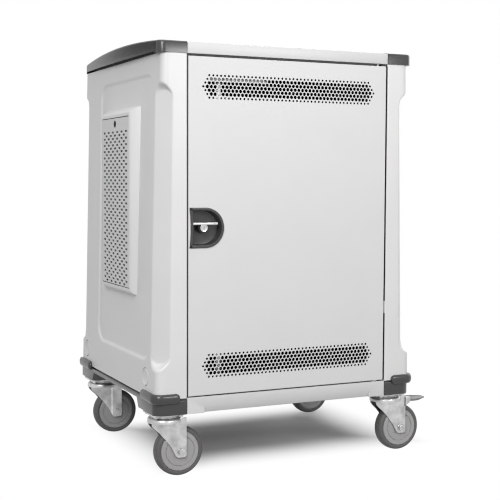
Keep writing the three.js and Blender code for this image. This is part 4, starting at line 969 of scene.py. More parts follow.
mesh = open_mesh(cap, "EDGE")
mesh.normal_update()
for edge in mesh.edges:
    faces = [face.normal.z > 0.9 for face in edge.link_faces]
    edge.select_set(any(faces) and not all(faces) and on_cap_top(edge.verts[0].co, edge.verts[1].co))
bmesh.update_edit_mesh(cap.data)
bpy.ops.mesh.bevel(offset=CAP_EDGE, offset_type="OFFSET", segments=4, profile=0.5, affect="EDGES")
close_mesh()
subtract(cap, box_between(
    "groove", (TOP_HALF + MIDDLE - CAP_GROOVE.x, -CAP_END + CAP_GROOVE.y, CAP_FOOT - CAP_GROOVE.z),
    (TOP_HALF + MIDDLE + 4 * CAP_GROOVE.x, CAP_END - CAP_REAR_CORNER, CAP_FOOT + CAP_GROOVE.z),
))
smooth_shade(cap, 40)
fit_pair(cap, "cabinet", "trim_grey", "right_top_cap")

# %% [markdown]
# ## Base sills and bumpers
#
# The same dark plastic runs round the foot. Each sill is a strip with a deeper block at each end for a
# castor: a bar with rounded corners, out of which a low arch is cut. A narrow neck on top of it leaves a
# line of shadow under the shell. At each corner sits an L-shaped bumper with soft ends. Its
# round section is carried along a path round the corner, and shrinks to nothing at both tips. For that
# a grid is bent to a tube: its rows go round the section, its columns follow the path.

# %% Sills
sill_low, sill_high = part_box("right_base_sill")
SILL_HALF = TOP_HALF + SIDE_LEAN + 1.5 * MM
SILL_END = HALF_DEPTH + 1.5 * MM
SILL_CORNER = 28 * MM
NECK_FOOT = SHELL_FOOT - 4.5 * MM
NECK_INSET = 5 * MM
NECK_GAP = 0.3 * MM
SILL_EDGE = 2 * MM
ARCH_TOP = SHELL_FOOT - 16 * MM
ARCH_FOOT = (-HALF_DEPTH + 124 * MM, HALF_DEPTH - 100 * MM)
ARCH_SLOPE = 14 * MM
ARCH_SPARE = 20 * MM


def sill_bar(name, inset, foot, top):
    """A bar along the side with rounded outer corners, smaller than the sill by an inset."""
    side = SILL_HALF - inset + MIDDLE
    end = SILL_END - inset
    bar = box_between(name, (OPENING + MIDDLE, -end, foot), (side, end, top))
    for toward, radius in ((-1, SILL_CORNER), (1, REAR_CORNER)):
        round_edges(bar, lambda a, b: min(a.x, b.x) > side - MM and abs(a.z - b.z) > MM
                    and min(a.y * toward, b.y * toward) > end - MM, radius, 8)
    return bar


sill = sill_bar("right_sill", 0, sill_low.z, NECK_FOOT)
arch = box_between(
    "arch", (OPENING + MIDDLE - ARCH_SPARE, ARCH_FOOT[0], sill_low.z),
    (SILL_HALF + MIDDLE + ARCH_SPARE, ARCH_FOOT[1], ARCH_TOP),
)
for corner in arch.data.vertices:
    if corner.co.z > ARCH_TOP - MM:
        corner.co.y -= math.copysign(ARCH_SLOPE, corner.co.y)
    else:
        corner.co.z -= MM
subtract(sill, arch)
bevel_all(sill, SILL_EDGE, 3)
neck = sill_bar("neck", NECK_INSET, NECK_FOOT - MM, SHELL_FOOT - NECK_GAP)
print("sill from", round(sill_low.z, 3), "to", round(NECK_FOOT, 3), "m")

# %% Bumpers
BUMPER_HALF = sill_high.x - MIDDLE
BUMPER_END = sill_high.y
BUMPER_END_LEG = 72 * MM
BUMPER_SIDE_LEG = 105 * MM
BUMPER_HEIGHT = 24 * MM
BUMPER_ROUND = 0.6
BUMPER_TIP = 10 * MM
BUMPER_SLIM = 0.4
FRONT_BEND = 17 * MM
REAR_BEND = 5.5 * MM
SEAT_GAP = 0.3 * MM
SEAT = Vector((TOP_HALF + SIDE_LEAN + SEAT_GAP, -HALF_DEPTH - SEAT_GAP))
THICKNESS = BUMPER_END - HALF_DEPTH - SEAT_GAP
bumper_level = sill_high.z - BUMPER_HEIGHT / 2
section = [(0, -1), (0, 1)]
for turn in range(90, -91, -15):
    across = 1 - BUMPER_ROUND + BUMPER_ROUND * math.cos(math.radians(turn))
    section.append((across, math.sin(math.radians(turn))))


def corner_path(radius):
    """Plan points on the seat, with their outward directions, from tip to tip."""
    tips = [BUMPER_TIP * (1 - math.cos(math.radians(turn))) for turn in range(0, 91, 15)]
    start = BUMPER_HALF - BUMPER_END_LEG
    stop = BUMPER_SIDE_LEG - BUMPER_END
    path = [(Vector((start + tip, SEAT.y)), Vector((0, -1)), tip) for tip in tips]
    centre = Vector((SEAT.x - radius, SEAT.y + radius))
    for turn in range(-90, 1, 9):
        outward = Vector((math.cos(math.radians(turn)), math.sin(math.radians(turn))))
        path.append((centre + outward * radius, outward, BUMPER_TIP))
    return path + [(Vector((SEAT.x, stop - tip)), Vector((1, 0)), tip) for tip in reversed(tips)]


def corner_bumper(name, radius):
    """An L-shaped bumper round the right front corner."""
    path = corner_path(radius)
    piece = grid(name, len(path) - 1, len(section))
    for corner in piece.data.vertices:
        point, outward, tip = path[round((corner.co.x + 1) / 2 * (len(path) - 1))]
        across, rise = section[round((corner.co.y + 1) / 2 * len(section)) % len(section)]
        fullness = math.sqrt(1 - (1 - tip / BUMPER_TIP) ** 2)
        point = point + outward * THICKNESS * across * (BUMPER_SLIM + (1 - BUMPER_SLIM) * fullness)
        corner.co = (point.x + MIDDLE, point.y, bumper_level + rise * BUMPER_HEIGHT / 2 * fullness)
    face_out(piece)
    return piece


front_bumper = corner_bumper("front_bumper", FRONT_BEND)
rear_bumper = corner_bumper("rear_bumper", REAR_BEND)
mirror(rear_bumper, (0, 1, 0))
right_sill = merge([sill, neck, front_bumper, rear_bumper], "right_sill")
smooth_shade(right_sill, 40)
fit_pair(right_sill, "cabinet", "trim_grey", "right_base_sill")

# %% [markdown]
# ## Castors
#
# A castor is an assembly of its own: a bolted plate with a ball race, a pressed fork that swivels under
# it, and a wheel with a soft tyre. It is modelled once, round its swivel axis at the origin, and then
# copied to the four corners.

# %% Wheel
TRAIL = 36 * MM
AXLE_HEIGHT = 62.5 * MM
AXLE = Vector((TRAIL, 0, AXLE_HEIGHT))
ALONG_AXLE = (0, -1, 0)
WHEEL_STEPS = 72
TYRE_HALF = in_mm((50.5, -14.5), (53, -15.6), (56, -15.6), (59, -14), (61.3, -10.5), (62.2, -6), (62.5, 0))
HUB_HALF = in_mm(
    (5.2, -19), (11.5, -19), (12, -18.5), (12.3, -17), (35.8, -16.2), (36.6, -14.4), (38, -14.4),
    (38.8, -16.4), (44, -16.8), (48.2, -16.6), (49.2, -15.6), (49.7, -13), (50.8, -13),
)


def both_halves(half):
    """A closed outline from its near half. A point in the middle isn't doubled."""
    far = [(radius, -along) for radius, along in reversed(half) if along]
    return half + far + half[:1]


tyre = spun("tyre", both_halves(TYRE_HALF), ALONG_AXLE, AXLE, WHEEL_STEPS)
hub = spun("hub", both_halves(HUB_HALF), ALONG_AXLE, AXLE, WHEEL_STEPS)
print("wheel of", len(tyre.data.polygons) + len(hub.data.polygons), "faces")

# %% [markdown]
# The fork's legs are pressed sheet: a raised flat band stands over the axle, and in front of it the
# sheet turns inwards, with its edge cut in a long sweep. A small grid is moved onto that form and given
# its thickness. The crown is a spun dish.

# %% Fork
LEG_TOP = 147 * MM
LEG_FOOT = 48.5 * MM
LEG_BACK = 50 * MM
LEG_OUTSIDE = 24.5 * MM
LEG_SHEET = 2.8 * MM
LEG_CREASE = 23 * MM
LEG_TURN = 0.12
LEG_STEP = 2 * MM
LEG_STEP_WIDTH = 3 * MM
LEG_TOE = 5 * MM
LEG_EDGE = 0.7 * MM
LEG_SWEEP = in_mm(
    (25, 48.5), (21, 56), (12.5, 73), (-3, 94), (-18, 111), (-30, 122), (-37, 130), (-38, 147),
)
LEG_ROWS = 36
LEG_COLUMNS = 40
UP = (0, 0, 1)
SWIVEL = (0, 0, 0)
CROWN_OUTLINE = in_mm(
    (6.5, 150.4), (33, 150.4), (37, 149.6), (40.5, 147), (42, 143), (42, 137), (39.5, 137), (39.5, 142),
    (38, 145), (35.5, 146.6), (33, 147), (6.5, 147), (6.5, 150.4),
)


def sweep_at(z):
    """The front edge of a leg at a height."""
    for (x0, z0), (x1, z1) in zip(LEG_SWEEP, LEG_SWEEP[1:]):
        if z <= z1:
            return x0 + (x1 - x0) * (z - z0) / (z1 - z0)
    return LEG_SWEEP[-1][0]


leg = grid("leg", LEG_COLUMNS, LEG_ROWS)
for corner in leg.data.vertices:
    across, height = (corner.co.x + 1) / 2, (corner.co.y + 1) / 2
    z = LEG_FOOT + (LEG_TOP - LEG_FOOT) * height
    toe = max(0, LEG_TOE - (z - LEG_FOOT))
    rounding = LEG_TOE - math.sqrt(max(0, LEG_TOE ** 2 - toe ** 2))
    x = sweep_at(z) + rounding / 2 + (LEG_BACK - rounding - sweep_at(z) - rounding / 2) * across
    ahead = LEG_CREASE - x
    y = LEG_OUTSIDE - LEG_TURN * max(0, ahead) - LEG_STEP * ease(0, LEG_STEP_WIDTH, ahead)
    corner.co = (x, -y, z)
apply_modifier(leg, "SOLIDIFY", thickness=LEG_SHEET, offset=-1)
bevel_all(leg, LEG_EDGE, 2, 50)
far_leg = duplicate(leg)
mirror(far_leg, (0, 1, 0))
crown = spun("crown", CROWN_OUTLINE, UP, SWIVEL, 64)
fork = merge([leg, far_leg, crown], "fork")
smooth_shade(fork, 35)
print("fork of", len(fork.data.polygons), "faces")

# %% [markdown]
# Hexagon bolts hold the axle and the plate. Each is a six-sided cylinder on a spun washer, made by one
# function, because six of them are needed. The plate is a thin box with round corners. Under it sits the
# ball race, a spun ring with a groove, and the king pin that holds the fork.

# %% Bolts and axle
WASHER_SHEET = 1.3 * MM
WASHER_EDGE = 0.3 * MM
HEAD_RISE = 1.2 * MM
HEAD_ROUND = 0.9 * MM
AXLE_BOLT = (8.4 * MM, 5.4 * MM, 10.5 * MM)


def hex_bolt(name, centre, axis, radius, height, washer):
    """A six-sided bolt head on a washer, standing on a point along an axis."""
    axis = Vector(axis)
    turn = axis.to_track_quat("Z", "Y").to_euler()
    head = cylinder(Vector(centre) + axis * (height / 2 + HEAD_RISE), turn, radius, height, 6)
    bevel_all(head, HEAD_ROUND, 2)
    outline = [
        (0, 0), (washer, 0), (washer, WASHER_SHEET - WASHER_EDGE),
        (washer - WASHER_EDGE, WASHER_SHEET), (0, WASHER_SHEET),
    ]
    return merge([head, spun("washer", outline, axis, centre, 28)], name)


axle_ends = [
    hex_bolt("axle_bolt", AXLE + Vector((0, side * LEG_OUTSIDE, 0)), (0, side, 0), *AXLE_BOLT)
    for side in (-1, 1)
]
bar = spun("axle_bar", in_mm((0, -24), (4.8, -24), (4.8, 24), (0, 24)), ALONG_AXLE, AXLE, 24)
axle = merge([*axle_ends, bar], "axle")
print("axle of", len(axle.data.polygons), "faces")

# %% Mounting plate and race
PLATE_LOW = Vector((-42.5 * MM, -42 * MM, 157.7 * MM))
PLATE_HIGH = Vector((42.5 * MM, 42 * MM, 161.7 * MM))
PLATE_CORNER = 9 * MM
PLATE_BOLT = (6.2 * MM, 4 * MM, 8.2 * MM)
BOLT_PLACE = (32 * MM, 31 * MM)
RACE_OUTLINE = in_mm(
    (0, 157.9), (34, 157.9), (36, 156.6), (36, 154.8), (34.6, 153.8), (34.6, 152.6), (36.4, 151.8),
    (36.4, 150.8), (0, 150.8),
)
KING_PIN = in_mm((0, 140.4), (7, 140.4), (9.6, 141.6), (9.6, 145), (6, 146.4), (6, 152), (0, 152))

plate = box_between("castor_plate", PLATE_LOW, PLATE_HIGH)
round_edges(plate, lambda a, b: abs(a.z - b.z) > MM, PLATE_CORNER, 5)
bevel_all(plate, SMALL_EDGE, 2)
race = spun("race", RACE_OUTLINE, UP, SWIVEL, 56)
king_pin = spun("king_pin", KING_PIN, UP, SWIVEL, 32)
plate_bolts = [
    hex_bolt("plate_bolt", (x * BOLT_PLACE[0], y * BOLT_PLACE[1], PLATE_LOW.z), (0, 0, -1), *PLATE_BOLT)
    for x in (-1, 1) for y in (-1, 1)
]
plate = merge([plate, king_pin, *plate_bolts], "castor_plate")
smooth_shade(plate, 35)
print("plate with", len(plate_bolts), "bolts")

# %% [markdown]
# Two of the castors have a brake. Its pedal is a leaf of plastic with a raised rim, hinged between two
# ears. The leaf is a box that is drawn to a point, with its upper face inset and sunk.

# %% Brake pedal
EAR_FOOT = 119 * MM
EAR_SLOPE = 12 * MM
EAR_REACH = 30 * MM
EAR_CORNER = 5 * MM
PEDAL_SLICES = 8
PEDAL_LIFT = 3 * MM
PEDAL_RIM = 3.2 * MM
PEDAL_SUNK = 2 * MM
PEDAL_STEM = 20 * MM
PEDAL_EDGE = 1.1 * MM
EAR_OVERLAP = 4 * MM

pedal_low, pedal_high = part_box("front_right_brake_pedal")
SWIVELS = {}
for corner_name in ("front_left", "front_right", "rear_left", "rear_right"):
    low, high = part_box(corner_name + "_castor_plate")
    SWIVELS[corner_name] = Vector(((low.x + high.x) / 2, (low.y + high.y) / 2, 0))
home = SWIVELS["front_right"]
pedal_start, pedal_tip = pedal_low.x - home.x, pedal_high.x - home.x
pedal_half = (pedal_high.y - pedal_low.y) / 2
pedal = box_between("pedal", (pedal_start, -pedal_half, pedal_low.z), (pedal_tip, pedal_half, pedal_high.z))
pick_edges(pedal, lambda a, b: abs(a.x - b.x) > 30 * MM)
bpy.ops.mesh.subdivide(number_cuts=PEDAL_SLICES - 1)
close_mesh()
pedal_level = (pedal_low.z + pedal_high.z) / 2
for corner in pedal.data.vertices:
    share = (corner.co.x - pedal_start) / (pedal_tip - pedal_start)
    corner.co.y *= 0.62 + 0.38 * ease(0.1, 0.5, share) - 0.78 * ease(0.55, 1.15, share)
    if corner.co.z < pedal_level:
        corner.co.z += PEDAL_LIFT * ease(0.3, 1, share)
pick_faces(pedal, lambda middle, normal: normal.z > 0.9 and middle.x > pedal_start + PEDAL_STEM)
bpy.ops.mesh.inset(thickness=PEDAL_RIM)
bpy.ops.transform.translate(value=(0, 0, -PEDAL_SUNK))
close_mesh()
bevel_all(pedal, PEDAL_EDGE, 3, 40)
smooth_shade(pedal, 40)
print("pedal from", round(pedal_start, 3), "to", round(pedal_tip, 3))

# %% Brake ears
ears = []
for toward in (-1, 1):
    near, far = sorted((toward * (LEG_OUTSIDE - LEG_SHEET), toward * LEG_OUTSIDE))
    ear = box_between("ear", (LEG_BACK - EAR_OVERLAP, near, EAR_FOOT), (TRAIL + EAR_REACH, far, LEG_TOP))
    for corner in ear.data.vertices:
        if corner.co.x > LEG_BACK and corner.co.z < EAR_FOOT + MM:
            corner.co.z += EAR_SLOPE
    round_edges(ear, lambda a, b: min(a.x, b.x) > LEG_BACK and abs(a.y - b.y) > MM, EAR_CORNER, 4)
    bevel_all(ear, LEG_EDGE, 2)
    ears.append(ear)
ears = merge(ears, "brake_ears")
smooth_shade(ears, 40)
print("ears of", len(ears.data.polygons), "faces")

# %% [markdown]
# The finished castor is copied to the four corners. The plate and race stay with the cabinet, the fork
# and axle swivel, the wheel rolls and the pedal tips, so each piece rides on a body of its own. The
# models at the origin are removed afterwards.

# %% Castors to their corners
for corner_name, place in SWIVELS.items():
    prefix = corner_name + "_"
    for model, name, body, slot, node in (
        (plate, "castor_plate_visual", "cabinet", "zinc", "castor_plate"),
        (fork, "fork_visual", prefix + "castor", "zinc", "fork"),
        (axle, "axle_visual", prefix + "castor", "zinc", "axle"),
        (hub, "hub_visual", prefix + "wheel", "hub_grey", "hub"),
        (tyre, "tyre_visual", prefix + "wheel", "tyre_grey", "tyre"),
        (pedal, "brake_pedal_visual", prefix + "brake", "pedal_grey", "brake_pedal"),
        (race, "castor_race", "cabinet", "zinc", "castor_plate"),
        (ears, "brake_ears", prefix + "castor", "zinc", "fork"),
    ):
        if name.startswith("brake") and prefix + "brake_pedal" not in nodes:
            continue
        twin = copy_at(model, place)
        twin.name = prefix + name
        fit(twin, body, slot, prefix + node)
for model in (plate, race, fork, axle, hub, tyre, pedal, ears):
    bpy.data.objects.remove(model)

# %% [markdown]
# ## Front door
#
# The door is a steel tray: a sheet folded back on all four sides, with a narrow return at the rear. A
# box without its rear face gives the tray, its rim is drawn in for the return, and Solidify gives the
# sheet its thickness. Two bands of punched holes let the warm air out. They are cut by one boolean from
# rows of short cylinders.

# %% Door tray
DOOR_SHEET = 1.6 * MM
DOOR_ROUND = 1.8 * MM
DOOR_RETURN = 12 * MM
TOP_JOINT = 1.8 * MM


def door_tray(name, low, high, outward):
    """A folded tray that fills a box. Outward is -1 for a door that faces the front."""
    face = low.y if outward < 0 else high.y
    rear = high.y if outward < 0 else low.y
    tray = box_between(name, low, high)
    delete_faces(tray, lambda middle, normal: normal.y * outward < -0.9)
    pick_edges(tray, lambda a, b: abs(a.y - rear) < MM and abs(b.y - rear) < MM)
    bpy.ops.mesh.extrude_edges_move()
    middle = (low + high) / 2
    size = high - low
    bpy.ops.transform.resize(
        value=((size.x - 2 * DOOR_RETURN) / size.x, 1, (size.z - 2 * DOOR_RETURN) / size.z),
        center_override=(middle.x, rear, middle.z),
    )
    close_mesh()
    round_edges(tray, lambda a, b: abs(a.y - face) < MM and abs(b.y - face) < MM, DOOR_ROUND, 3)
    face_out(tray)
    apply_modifier(tray, "SOLIDIFY", thickness=DOOR_SHEET, offset=-1)
    return tray


door_low, door_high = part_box("front_door")
door_high.z -= TOP_JOINT
door = door_tray("front_door_tray", door_low, door_high, -1)
print("door of", [round(s, 3) for s in door_high - door_low], "m")

# %% Punched holes
HOLE_PITCH = 10.34 * MM
HOLE_ROW = 8.95 * MM
HOLE_ROWS = (44, 45, 46, 47, 46, 45, 44)
HOLE_RADIUS = 4.45 * MM
EDGE_HOLE_RADIUS = 2.85 * MM
VENT_LEVELS = (955 * MM, 277 * MM)
PUNCH_DEPTH = 12 * MM
PUNCH_SIDES = 12

wide, fine = (
    cylinder((0, door_low.y, 0), UPRIGHT, radius, PUNCH_DEPTH, PUNCH_SIDES)
    for radius in (HOLE_RADIUS, EDGE_HOLE_RADIUS)
)
vent_middle = (door_low.x + door_high.x) / 2
punches = []
for level_z in VENT_LEVELS:
    for row, count in enumerate(HOLE_ROWS):
        for i in range(count):
            at_edge = row in (0, len(HOLE_ROWS) - 1) or i in (0, count - 1)
            x = vent_middle + (i - (count - 1) / 2) * HOLE_PITCH
            z = level_z + (len(HOLE_ROWS) // 2 - row) * HOLE_ROW
            punches.append(copy_at(fine if at_edge else wide, Vector((x, 0, z))))
bpy.data.objects.remove(wide)
bpy.data.objects.remove(fine)
subtract(door, merge(punches, "punches"))
print("punched", len(punches), "holes")

# %% [markdown]
# Dark rubber strips seal the narrow gaps round the door, a little behind its face. Their black is painted
# shade: it stands in for the shade deep in the gaps, so that the gaps read as black lines. Those above and
# below the door lie deeper and stop short of the hinge pins. A pale stiffening bar crosses the upper part of
# the door behind the upper holes. All of these are slim boxes with rounded edges.

# %% Seal strips that paint the gaps' shade, and stiffener
SEAL_FRONT = -HALF_DEPTH + 1 * MM
SUNK_FRONT = -HALF_DEPTH + 3.5 * MM
SEAL_REAR = -HALF_DEPTH + 22 * MM
SEAL_GAP = 0.4 * MM
SEAL_SHEET = 0.8 * MM
SEAT_SPARE = 0.2 * MM
PIN_SPARE = 2 * MM
SEAL_EDGE = 0.25 * MM
SEAL_BREAK = (382 * MM, 414 * MM)
pin_low, pin_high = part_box("front_upper_hinge_pin")
rail_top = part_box("front_base_rail")[1].z
panel_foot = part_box("top_panel")[0].z
left_post, right_post = MIDDLE - OPENING + SEAT_SPARE, MIDDLE + OPENING - SEAT_SPARE
shade_seal_boxes = []
for low_z, high_z in (
    (rail_top + SEAT_SPARE, door_low.z - SEAL_GAP),
    (door_high.z + SEAL_GAP, panel_foot - SEAT_SPARE),
):
    for low_x, high_x in ((left_post, pin_low.x - PIN_SPARE), (pin_high.x + PIN_SPARE, right_post)):
        shade_seal_boxes.append(((low_x, SUNK_FRONT, low_z), (high_x, SEAL_REAR, high_z)))
for low_x, low_z, high_x, high_z in (
    (left_post, door_low.z, door_low.x - SEAL_GAP, door_high.z),
    (right_post - SEAL_SHEET, door_low.z, right_post, SEAL_BREAK[0]),
    (right_post - SEAL_SHEET, SEAL_BREAK[1], right_post, door_high.z),
):
    shade_seal_boxes.append(((low_x, SEAL_FRONT, low_z), (high_x, SEAL_REAR, high_z)))
# painted shade: black rubber strips stand in for the shade deep in the door's gaps
shade_seals = [rounded_box("seal", low, high, SEAL_EDGE, 1) for low, high in shade_seal_boxes]
fit(merge(shade_seals, "front_door_seal"), "cabinet", "lock_black")
STIFFENER_LOW = Vector((MIDDLE - 240 * MM, door_high.y - 4 * MM, 968.5 * MM))
STIFFENER_HIGH = Vector((MIDDLE - 62 * MM, door_high.y, 977.5 * MM))
stiffener = rounded_box("door_stiffener", STIFFENER_LOW, STIFFENER_HIGH, SMALL_EDGE)
fit(stiffener, "front_door", "white_paint", "front_door")

# %% [markdown]
# The lock sits in a deep D-shaped cup. Bevelling the two right-hand edges of a thin box by half its
# height turns it into the D. Its rear is inset and drawn back for the bowl, its front is inset and
# pressed in for the hollow, and the straight side is pinched a little towards the middle.

# %% Lock cup
cup_low, cup_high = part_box("lock_cup")
CUP_RIM = 4 * MM
CUP_WALL = 2.4 * MM
CUP_PINCH = 3 * MM
CUP_FROM_EDGE = 2.5 * MM
CUP_CORNER = 2 * MM
CUP_TAPER = 0.94
CUP_PROUD = 0.2 * MM
CUP_SLACK = 0.3 * MM
CUP_EDGE = 1.5 * MM
CUT_AHEAD = 5 * MM
CUT_BEHIND = 8 * MM


def d_plate(name, front, rear, margin):
    """A D-shaped plate between two depths, smaller than the cup's outline by a margin."""
    low = Vector((cup_low.x + CUP_FROM_EDGE + margin, front, cup_low.z + margin))
    high = Vector((cup_high.x - margin, rear, cup_high.z - margin))
    piece = box_between(name, low, high)
    radius = (high.z - low.z) / 2
    for on_side, bend, count in (
        (lambda a, b: min(a.x, b.x) > high.x - MM, radius * 0.995, 18),
        (lambda a, b: max(a.x, b.x) < low.x + MM, CUP_CORNER, 2),
    ):
        round_edges(piece, lambda a, b: on_side(a, b) and abs(a.y - b.y) > HAIR, bend, count)
    pick_edges(piece, lambda a, b: max(a.x, b.x) < low.x + MM and abs(a.z - b.z) > radius)
    bpy.ops.mesh.subdivide(number_cuts=9)
    close_mesh()
    middle = (low.z + high.z) / 2
    for corner in piece.data.vertices:
        if corner.co.x < low.x + MM:
            corner.co.x += CUP_PINCH * (1 - ((corner.co.z - middle) / radius) ** 2)
    return piece


print("cup of", [round(s, 3) for s in cup_high - cup_low], "m")

# %% The cup in its cut-out
face_y = door_low.y
cut_out = d_plate("cut_out", face_y - CUT_AHEAD, face_y + CUT_BEHIND, CUP_RIM - CUP_SLACK)
subtract(door, cut_out)
smooth_shade(door, 12)
fit(door, "front_door", "white_paint", "front_door")
cup = d_plate("cup", cup_low.y, face_y - CUP_PROUD, 0)
pick_faces(cup, lambda middle, normal: normal.y > 0.9)
bpy.ops.mesh.inset(thickness=CUP_RIM + CUP_PROUD)
bpy.ops.mesh.extrude_region_move(TRANSFORM_OT_translate={"value": (0, cup_high.y - face_y, 0)})
close_mesh()
pick_faces(cup, lambda middle, normal: normal.y < -0.9)
bpy.ops.mesh.inset(thickness=CUP_RIM + CUP_WALL)
bpy.ops.mesh.extrude_region_move(TRANSFORM_OT_translate={"value": (0, cup_high.y - cup_low.y - CUP_WALL, 0)})
cup_middle = (cup_low + cup_high) / 2
bpy.ops.transform.resize(value=(CUP_TAPER, 1, CUP_TAPER), center_override=(cup_middle.x, 0, cup_middle.z))
close_mesh()
bevel_all(cup, CUP_EDGE, 3, 50)
smooth_shade(cup, 40)
fit(cup, "front_door", "trim_grey", "lock_cup")

# %% [markdown]
# A chrome bar across the cup turns the lock, and the key goes into a cylinder below it. The bar is a
# box with well rounded edges, so that it shows bright lines. The black collar behind it and the key
# cylinder are turned parts, as the plugs were. A slit in the cylinder's face takes the key.

# %% Turn handle and key cylinder
BAR_LENGTH = 66 * MM
BAR_HEIGHT = 6 * MM
BAR_OFFSET = Vector((3 * MM, 0, 10 * MM))
BAR_AHEAD = Vector((0, 1 * MM, 0))
BAR_BEHIND = Vector((0, 10 * MM, 0))
COLLAR_OUTLINE = in_mm(
    (10.4, 4), (12.6, 4), (13.6, 5), (13.6, 17), (7, 17), (7, 29), (0, 29), (0, 14), (10.4, 14), (10.4, 4),
)
BAR_EDGE = 1.6 * MM
KEY_SLIT = Vector((0.9 * MM, 5 * MM, 4.2 * MM))
KEY_OUTLINE = in_mm(
    (0, 0.6), (6.2, 0.6), (6.6, 1), (7.2, 1), (7.6, -0.8), (9, -1), (9.9, 0), (9.9, 12.6), (0, 12.6),
)

key_low, key_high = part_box("key_cylinder")
lock_axis = Vector(((key_low.x + key_high.x) / 2, face_y, (key_low.z + key_high.z) / 2))
bar_half = Vector((BAR_LENGTH / 2, 0, BAR_HEIGHT / 2))
bar_middle = lock_axis + BAR_OFFSET
bar = rounded_box(
    "handle_bar", bar_middle - bar_half - BAR_AHEAD, bar_middle + bar_half + BAR_BEHIND, BAR_EDGE, 4,
)
smooth_shade(bar, 40)
fit(bar, "turn_handle", "chrome", "turn_handle")
collar = spun("handle_collar", COLLAR_OUTLINE, (0, 1, 0), lock_axis)
fit(collar, "turn_handle", "lock_black", "turn_handle")
key = spun("key_face", KEY_OUTLINE, (0, 1, 0), lock_axis)
cut_slit(key, lock_axis, KEY_SLIT)
smooth_shade(key, 35)
fit(key, "key_cylinder", "chrome", "key_cylinder")

# %% [markdown]
# ## Rear door
#
# The rear door is the same kind of tray. Its vents are rows of long slots with round ends, and its lock
# is a turned barrel with a flat tongue behind it that swings behind the post.

# %% Rear door
REAR_SLOT = Vector((90 * MM, 12 * MM, 12 * MM))
REAR_SLOT_PITCH = 130 * MM
REAR_SLOT_ROW = 24 * MM
REAR_VENT_LEVELS = (953 * MM, 272 * MM)
REAR_LOCK_HOLE = 9.5 * MM
REAR_KEYWAY = Vector((0.8 * MM, 4 * MM, 3.4 * MM))
REAR_LOCK_SUNK = Vector((0, 0.4 * MM, 0))

rear_low, rear_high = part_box("rear_door")
rear_door = door_tray("rear_door_tray", rear_low, rear_high, 1)
rear_middle = (rear_low.x + rear_high.x) / 2
first_place = Vector((rear_middle, rear_high.y, 0))
first = box_between("rear_slot", first_place - REAR_SLOT / 2, first_place + REAR_SLOT / 2)
round_edges(first, lambda a, b: abs(a.y - b.y) > MM, REAR_SLOT.z * 0.49, 5)
cutters = [
    copy_at(first, Vector(((i - 1.5) * REAR_SLOT_PITCH, 0, level_z + row * REAR_SLOT_ROW)))
    for level_z in REAR_VENT_LEVELS for row in (-1, 0, 1) for i in range(4)
]
bpy.data.objects.remove(first)
subtract(rear_door, merge(cutters, "rear_slots"))
rear_lock_low, rear_lock_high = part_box("rear_lock")
rear_axis = Vector(((rear_lock_low.x + rear_lock_high.x) / 2, rear_high.y, rear_lock_high.z - LOCK_BELOW_TOP))
drill(rear_door, rear_axis, (0, 1, 0), REAR_LOCK_HOLE, LOCK_DRILL)
smooth_shade(rear_door, 12)
fit(rear_door, "rear_door", "white_paint", "rear_door")
rear_lock = spun("rear_lock_face", LOCK_FACE, (0, 1, 0), rear_axis - REAR_LOCK_SUNK)
cut_slit(rear_lock, rear_axis, REAR_KEYWAY)
depth = (rear_axis.y - rear_lock_low.y) / MM
barrel = spun("rear_barrel", in_mm((0, -depth), (8, -depth), (8, -7), (0, -7)), (0, 1, 0), rear_axis, 32)
tongue = rounded_box(
    "rear_tongue", (rear_axis.x - TONGUE_HALF, rear_lock_low.y, rear_lock_low.z),
    (rear_axis.x + TONGUE_HALF, rear_lock_low.y + TONGUE_SHEET, rear_axis.z), SMALL_EDGE,
)
rear_lock = merge([rear_lock, barrel, tongue], "rear_lock_face")
fit(rear_lock, "rear_lock", "lock_black", "rear_lock")

# %% [markdown]
# ## Pieces that keep their CAD form
#
# The folded panels and rails are right as they are, but a real fold is never knife-sharp. Each gets a
# copy of its CAD mesh, with the loose triangles merged into clean faces, and a small rounding on every
# sharp edge that catches a line of light.

# %% Softened panels


def softened(node, name, radius, fold=35):
    """A copy of a CAD node with merged faces and rounded edges, crisp at folds above an angle."""
    piece = duplicate(nodes[node])
    piece.name = name
    piece.parent = None
    piece.matrix_world = Matrix.Identity(4)
    open_mesh(piece, "VERT")
    bpy.ops.mesh.select_all(action="SELECT")
    bpy.ops.mesh.remove_doubles(threshold=DOUBLED)
    bpy.ops.mesh.dissolve_limited(angle_limit=math.radians(1))
    close_mesh()
    if radius:
        bevel_all(piece, radius, 2)
    smooth_shade(piece, fold)
    return piece


for body, radius, fold, kept in (
    ("cabinet", 1.8 * MM, 35, ("top_panel",)),
    ("cabinet", 1.2 * MM, 35, ("left_inner_wall", "right_inner_wall", "base_pan", "partition", "shelf")),
    ("cabinet", 0.8 * MM, 35, (
        "front_upper_hinge_pin", "front_lower_hinge_pin", "rear_upper_hinge_pin", "rear_lower_hinge_pin",
    )),
    ("front_door", 1 * MM, 35, ("upper_rod_guide", "lower_rod_guide")),
    ("turn_handle", 0.6 * MM, 35, ("lock_cam",)),
    ("upper_lock_rod", 0.8 * MM, 35, ("upper_lock_rod",)),
    ("lower_lock_rod", 0.8 * MM, 35, ("lower_lock_rod",)),
    ("cabinet", 1.2 * MM, 20, ("front_base_rail", "rear_base_rail")),
):
    for node in kept:
        fit(softened(node, node + "_soft", radius, fold), body, slot_of[node], node)

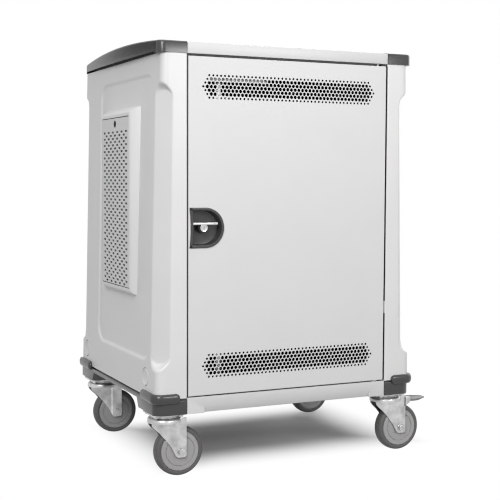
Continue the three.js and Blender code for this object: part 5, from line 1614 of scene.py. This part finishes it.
# %% [markdown]
# The laptop racks and the sockets behind the partition get a little more. A rack's fins are rounded at
# their upper front corners, so that a laptop slides in easily, and each socket of the power strips gets
# its two pin holes.

# %% Racks, power strips and inlet
FIN_CORNER = 28 * MM
SOCKETS = 10
PIN_HOLE = 2.4 * MM
PIN_SPREAD = 9.5 * MM
PIN_DEPTH = 24 * MM
INLET_PIN = Vector((2 * MM, 14 * MM, 4 * MM))
INLET_SUNK = 2 * MM
INLET_PLACES = in_mm((-7, -2), (0, 3), (7, -2))

for level_name in ("lower", "upper"):
    node = level_name + "_divider_rack"
    low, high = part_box(node)
    rack = softened(node, node + "_soft", 0)
    round_edges(
        rack, lambda a, b: min(a.z, b.z) > high.z - MM and max(a.y, b.y) < low.y + MM, FIN_CORNER, 6,
    )
    bevel_all(rack, SMALL_EDGE, 2)
    smooth_shade(rack, 35)
    fit(rack, "cabinet", "rack_black", node)
    node = level_name + "_power_strip"
    low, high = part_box(node)
    strip = softened(node, node + "_soft", SMALL_EDGE)
    hole = cylinder((0, high.y, (low.z + high.z) / 2), UPRIGHT, PIN_HOLE, PIN_DEPTH, PUNCH_SIDES)
    holes = []
    for i in range(SOCKETS):
        x = low.x + (high.x - low.x) * (i + 0.5) / SOCKETS
        holes += [copy_at(hole, Vector((x + side * PIN_SPREAD, 0, 0))) for side in (-1, 1)]
    bpy.data.objects.remove(hole)
    subtract(strip, merge(holes, "pin_holes"))
    fit(strip, "cabinet", "rack_black", node)
inlet = softened("mains_inlet", "mains_inlet_soft", SMALL_EDGE)
fit(inlet, "cabinet", "rack_black", "mains_inlet")
low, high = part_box("mains_inlet")
inlet_middle = (low + high) / 2
pins = []
for x, z in INLET_PLACES:
    foot = Vector((
        inlet_middle.x + x - INLET_PIN.x / 2, low.y + INLET_SUNK, inlet_middle.z + z - INLET_PIN.z / 2,
    ))
    pins.append(rounded_box("pin", foot, foot + INLET_PIN, 0.4 * MM))
fit(merge(pins, "mains_inlet_pins"), "cabinet", "zinc", "mains_inlet")
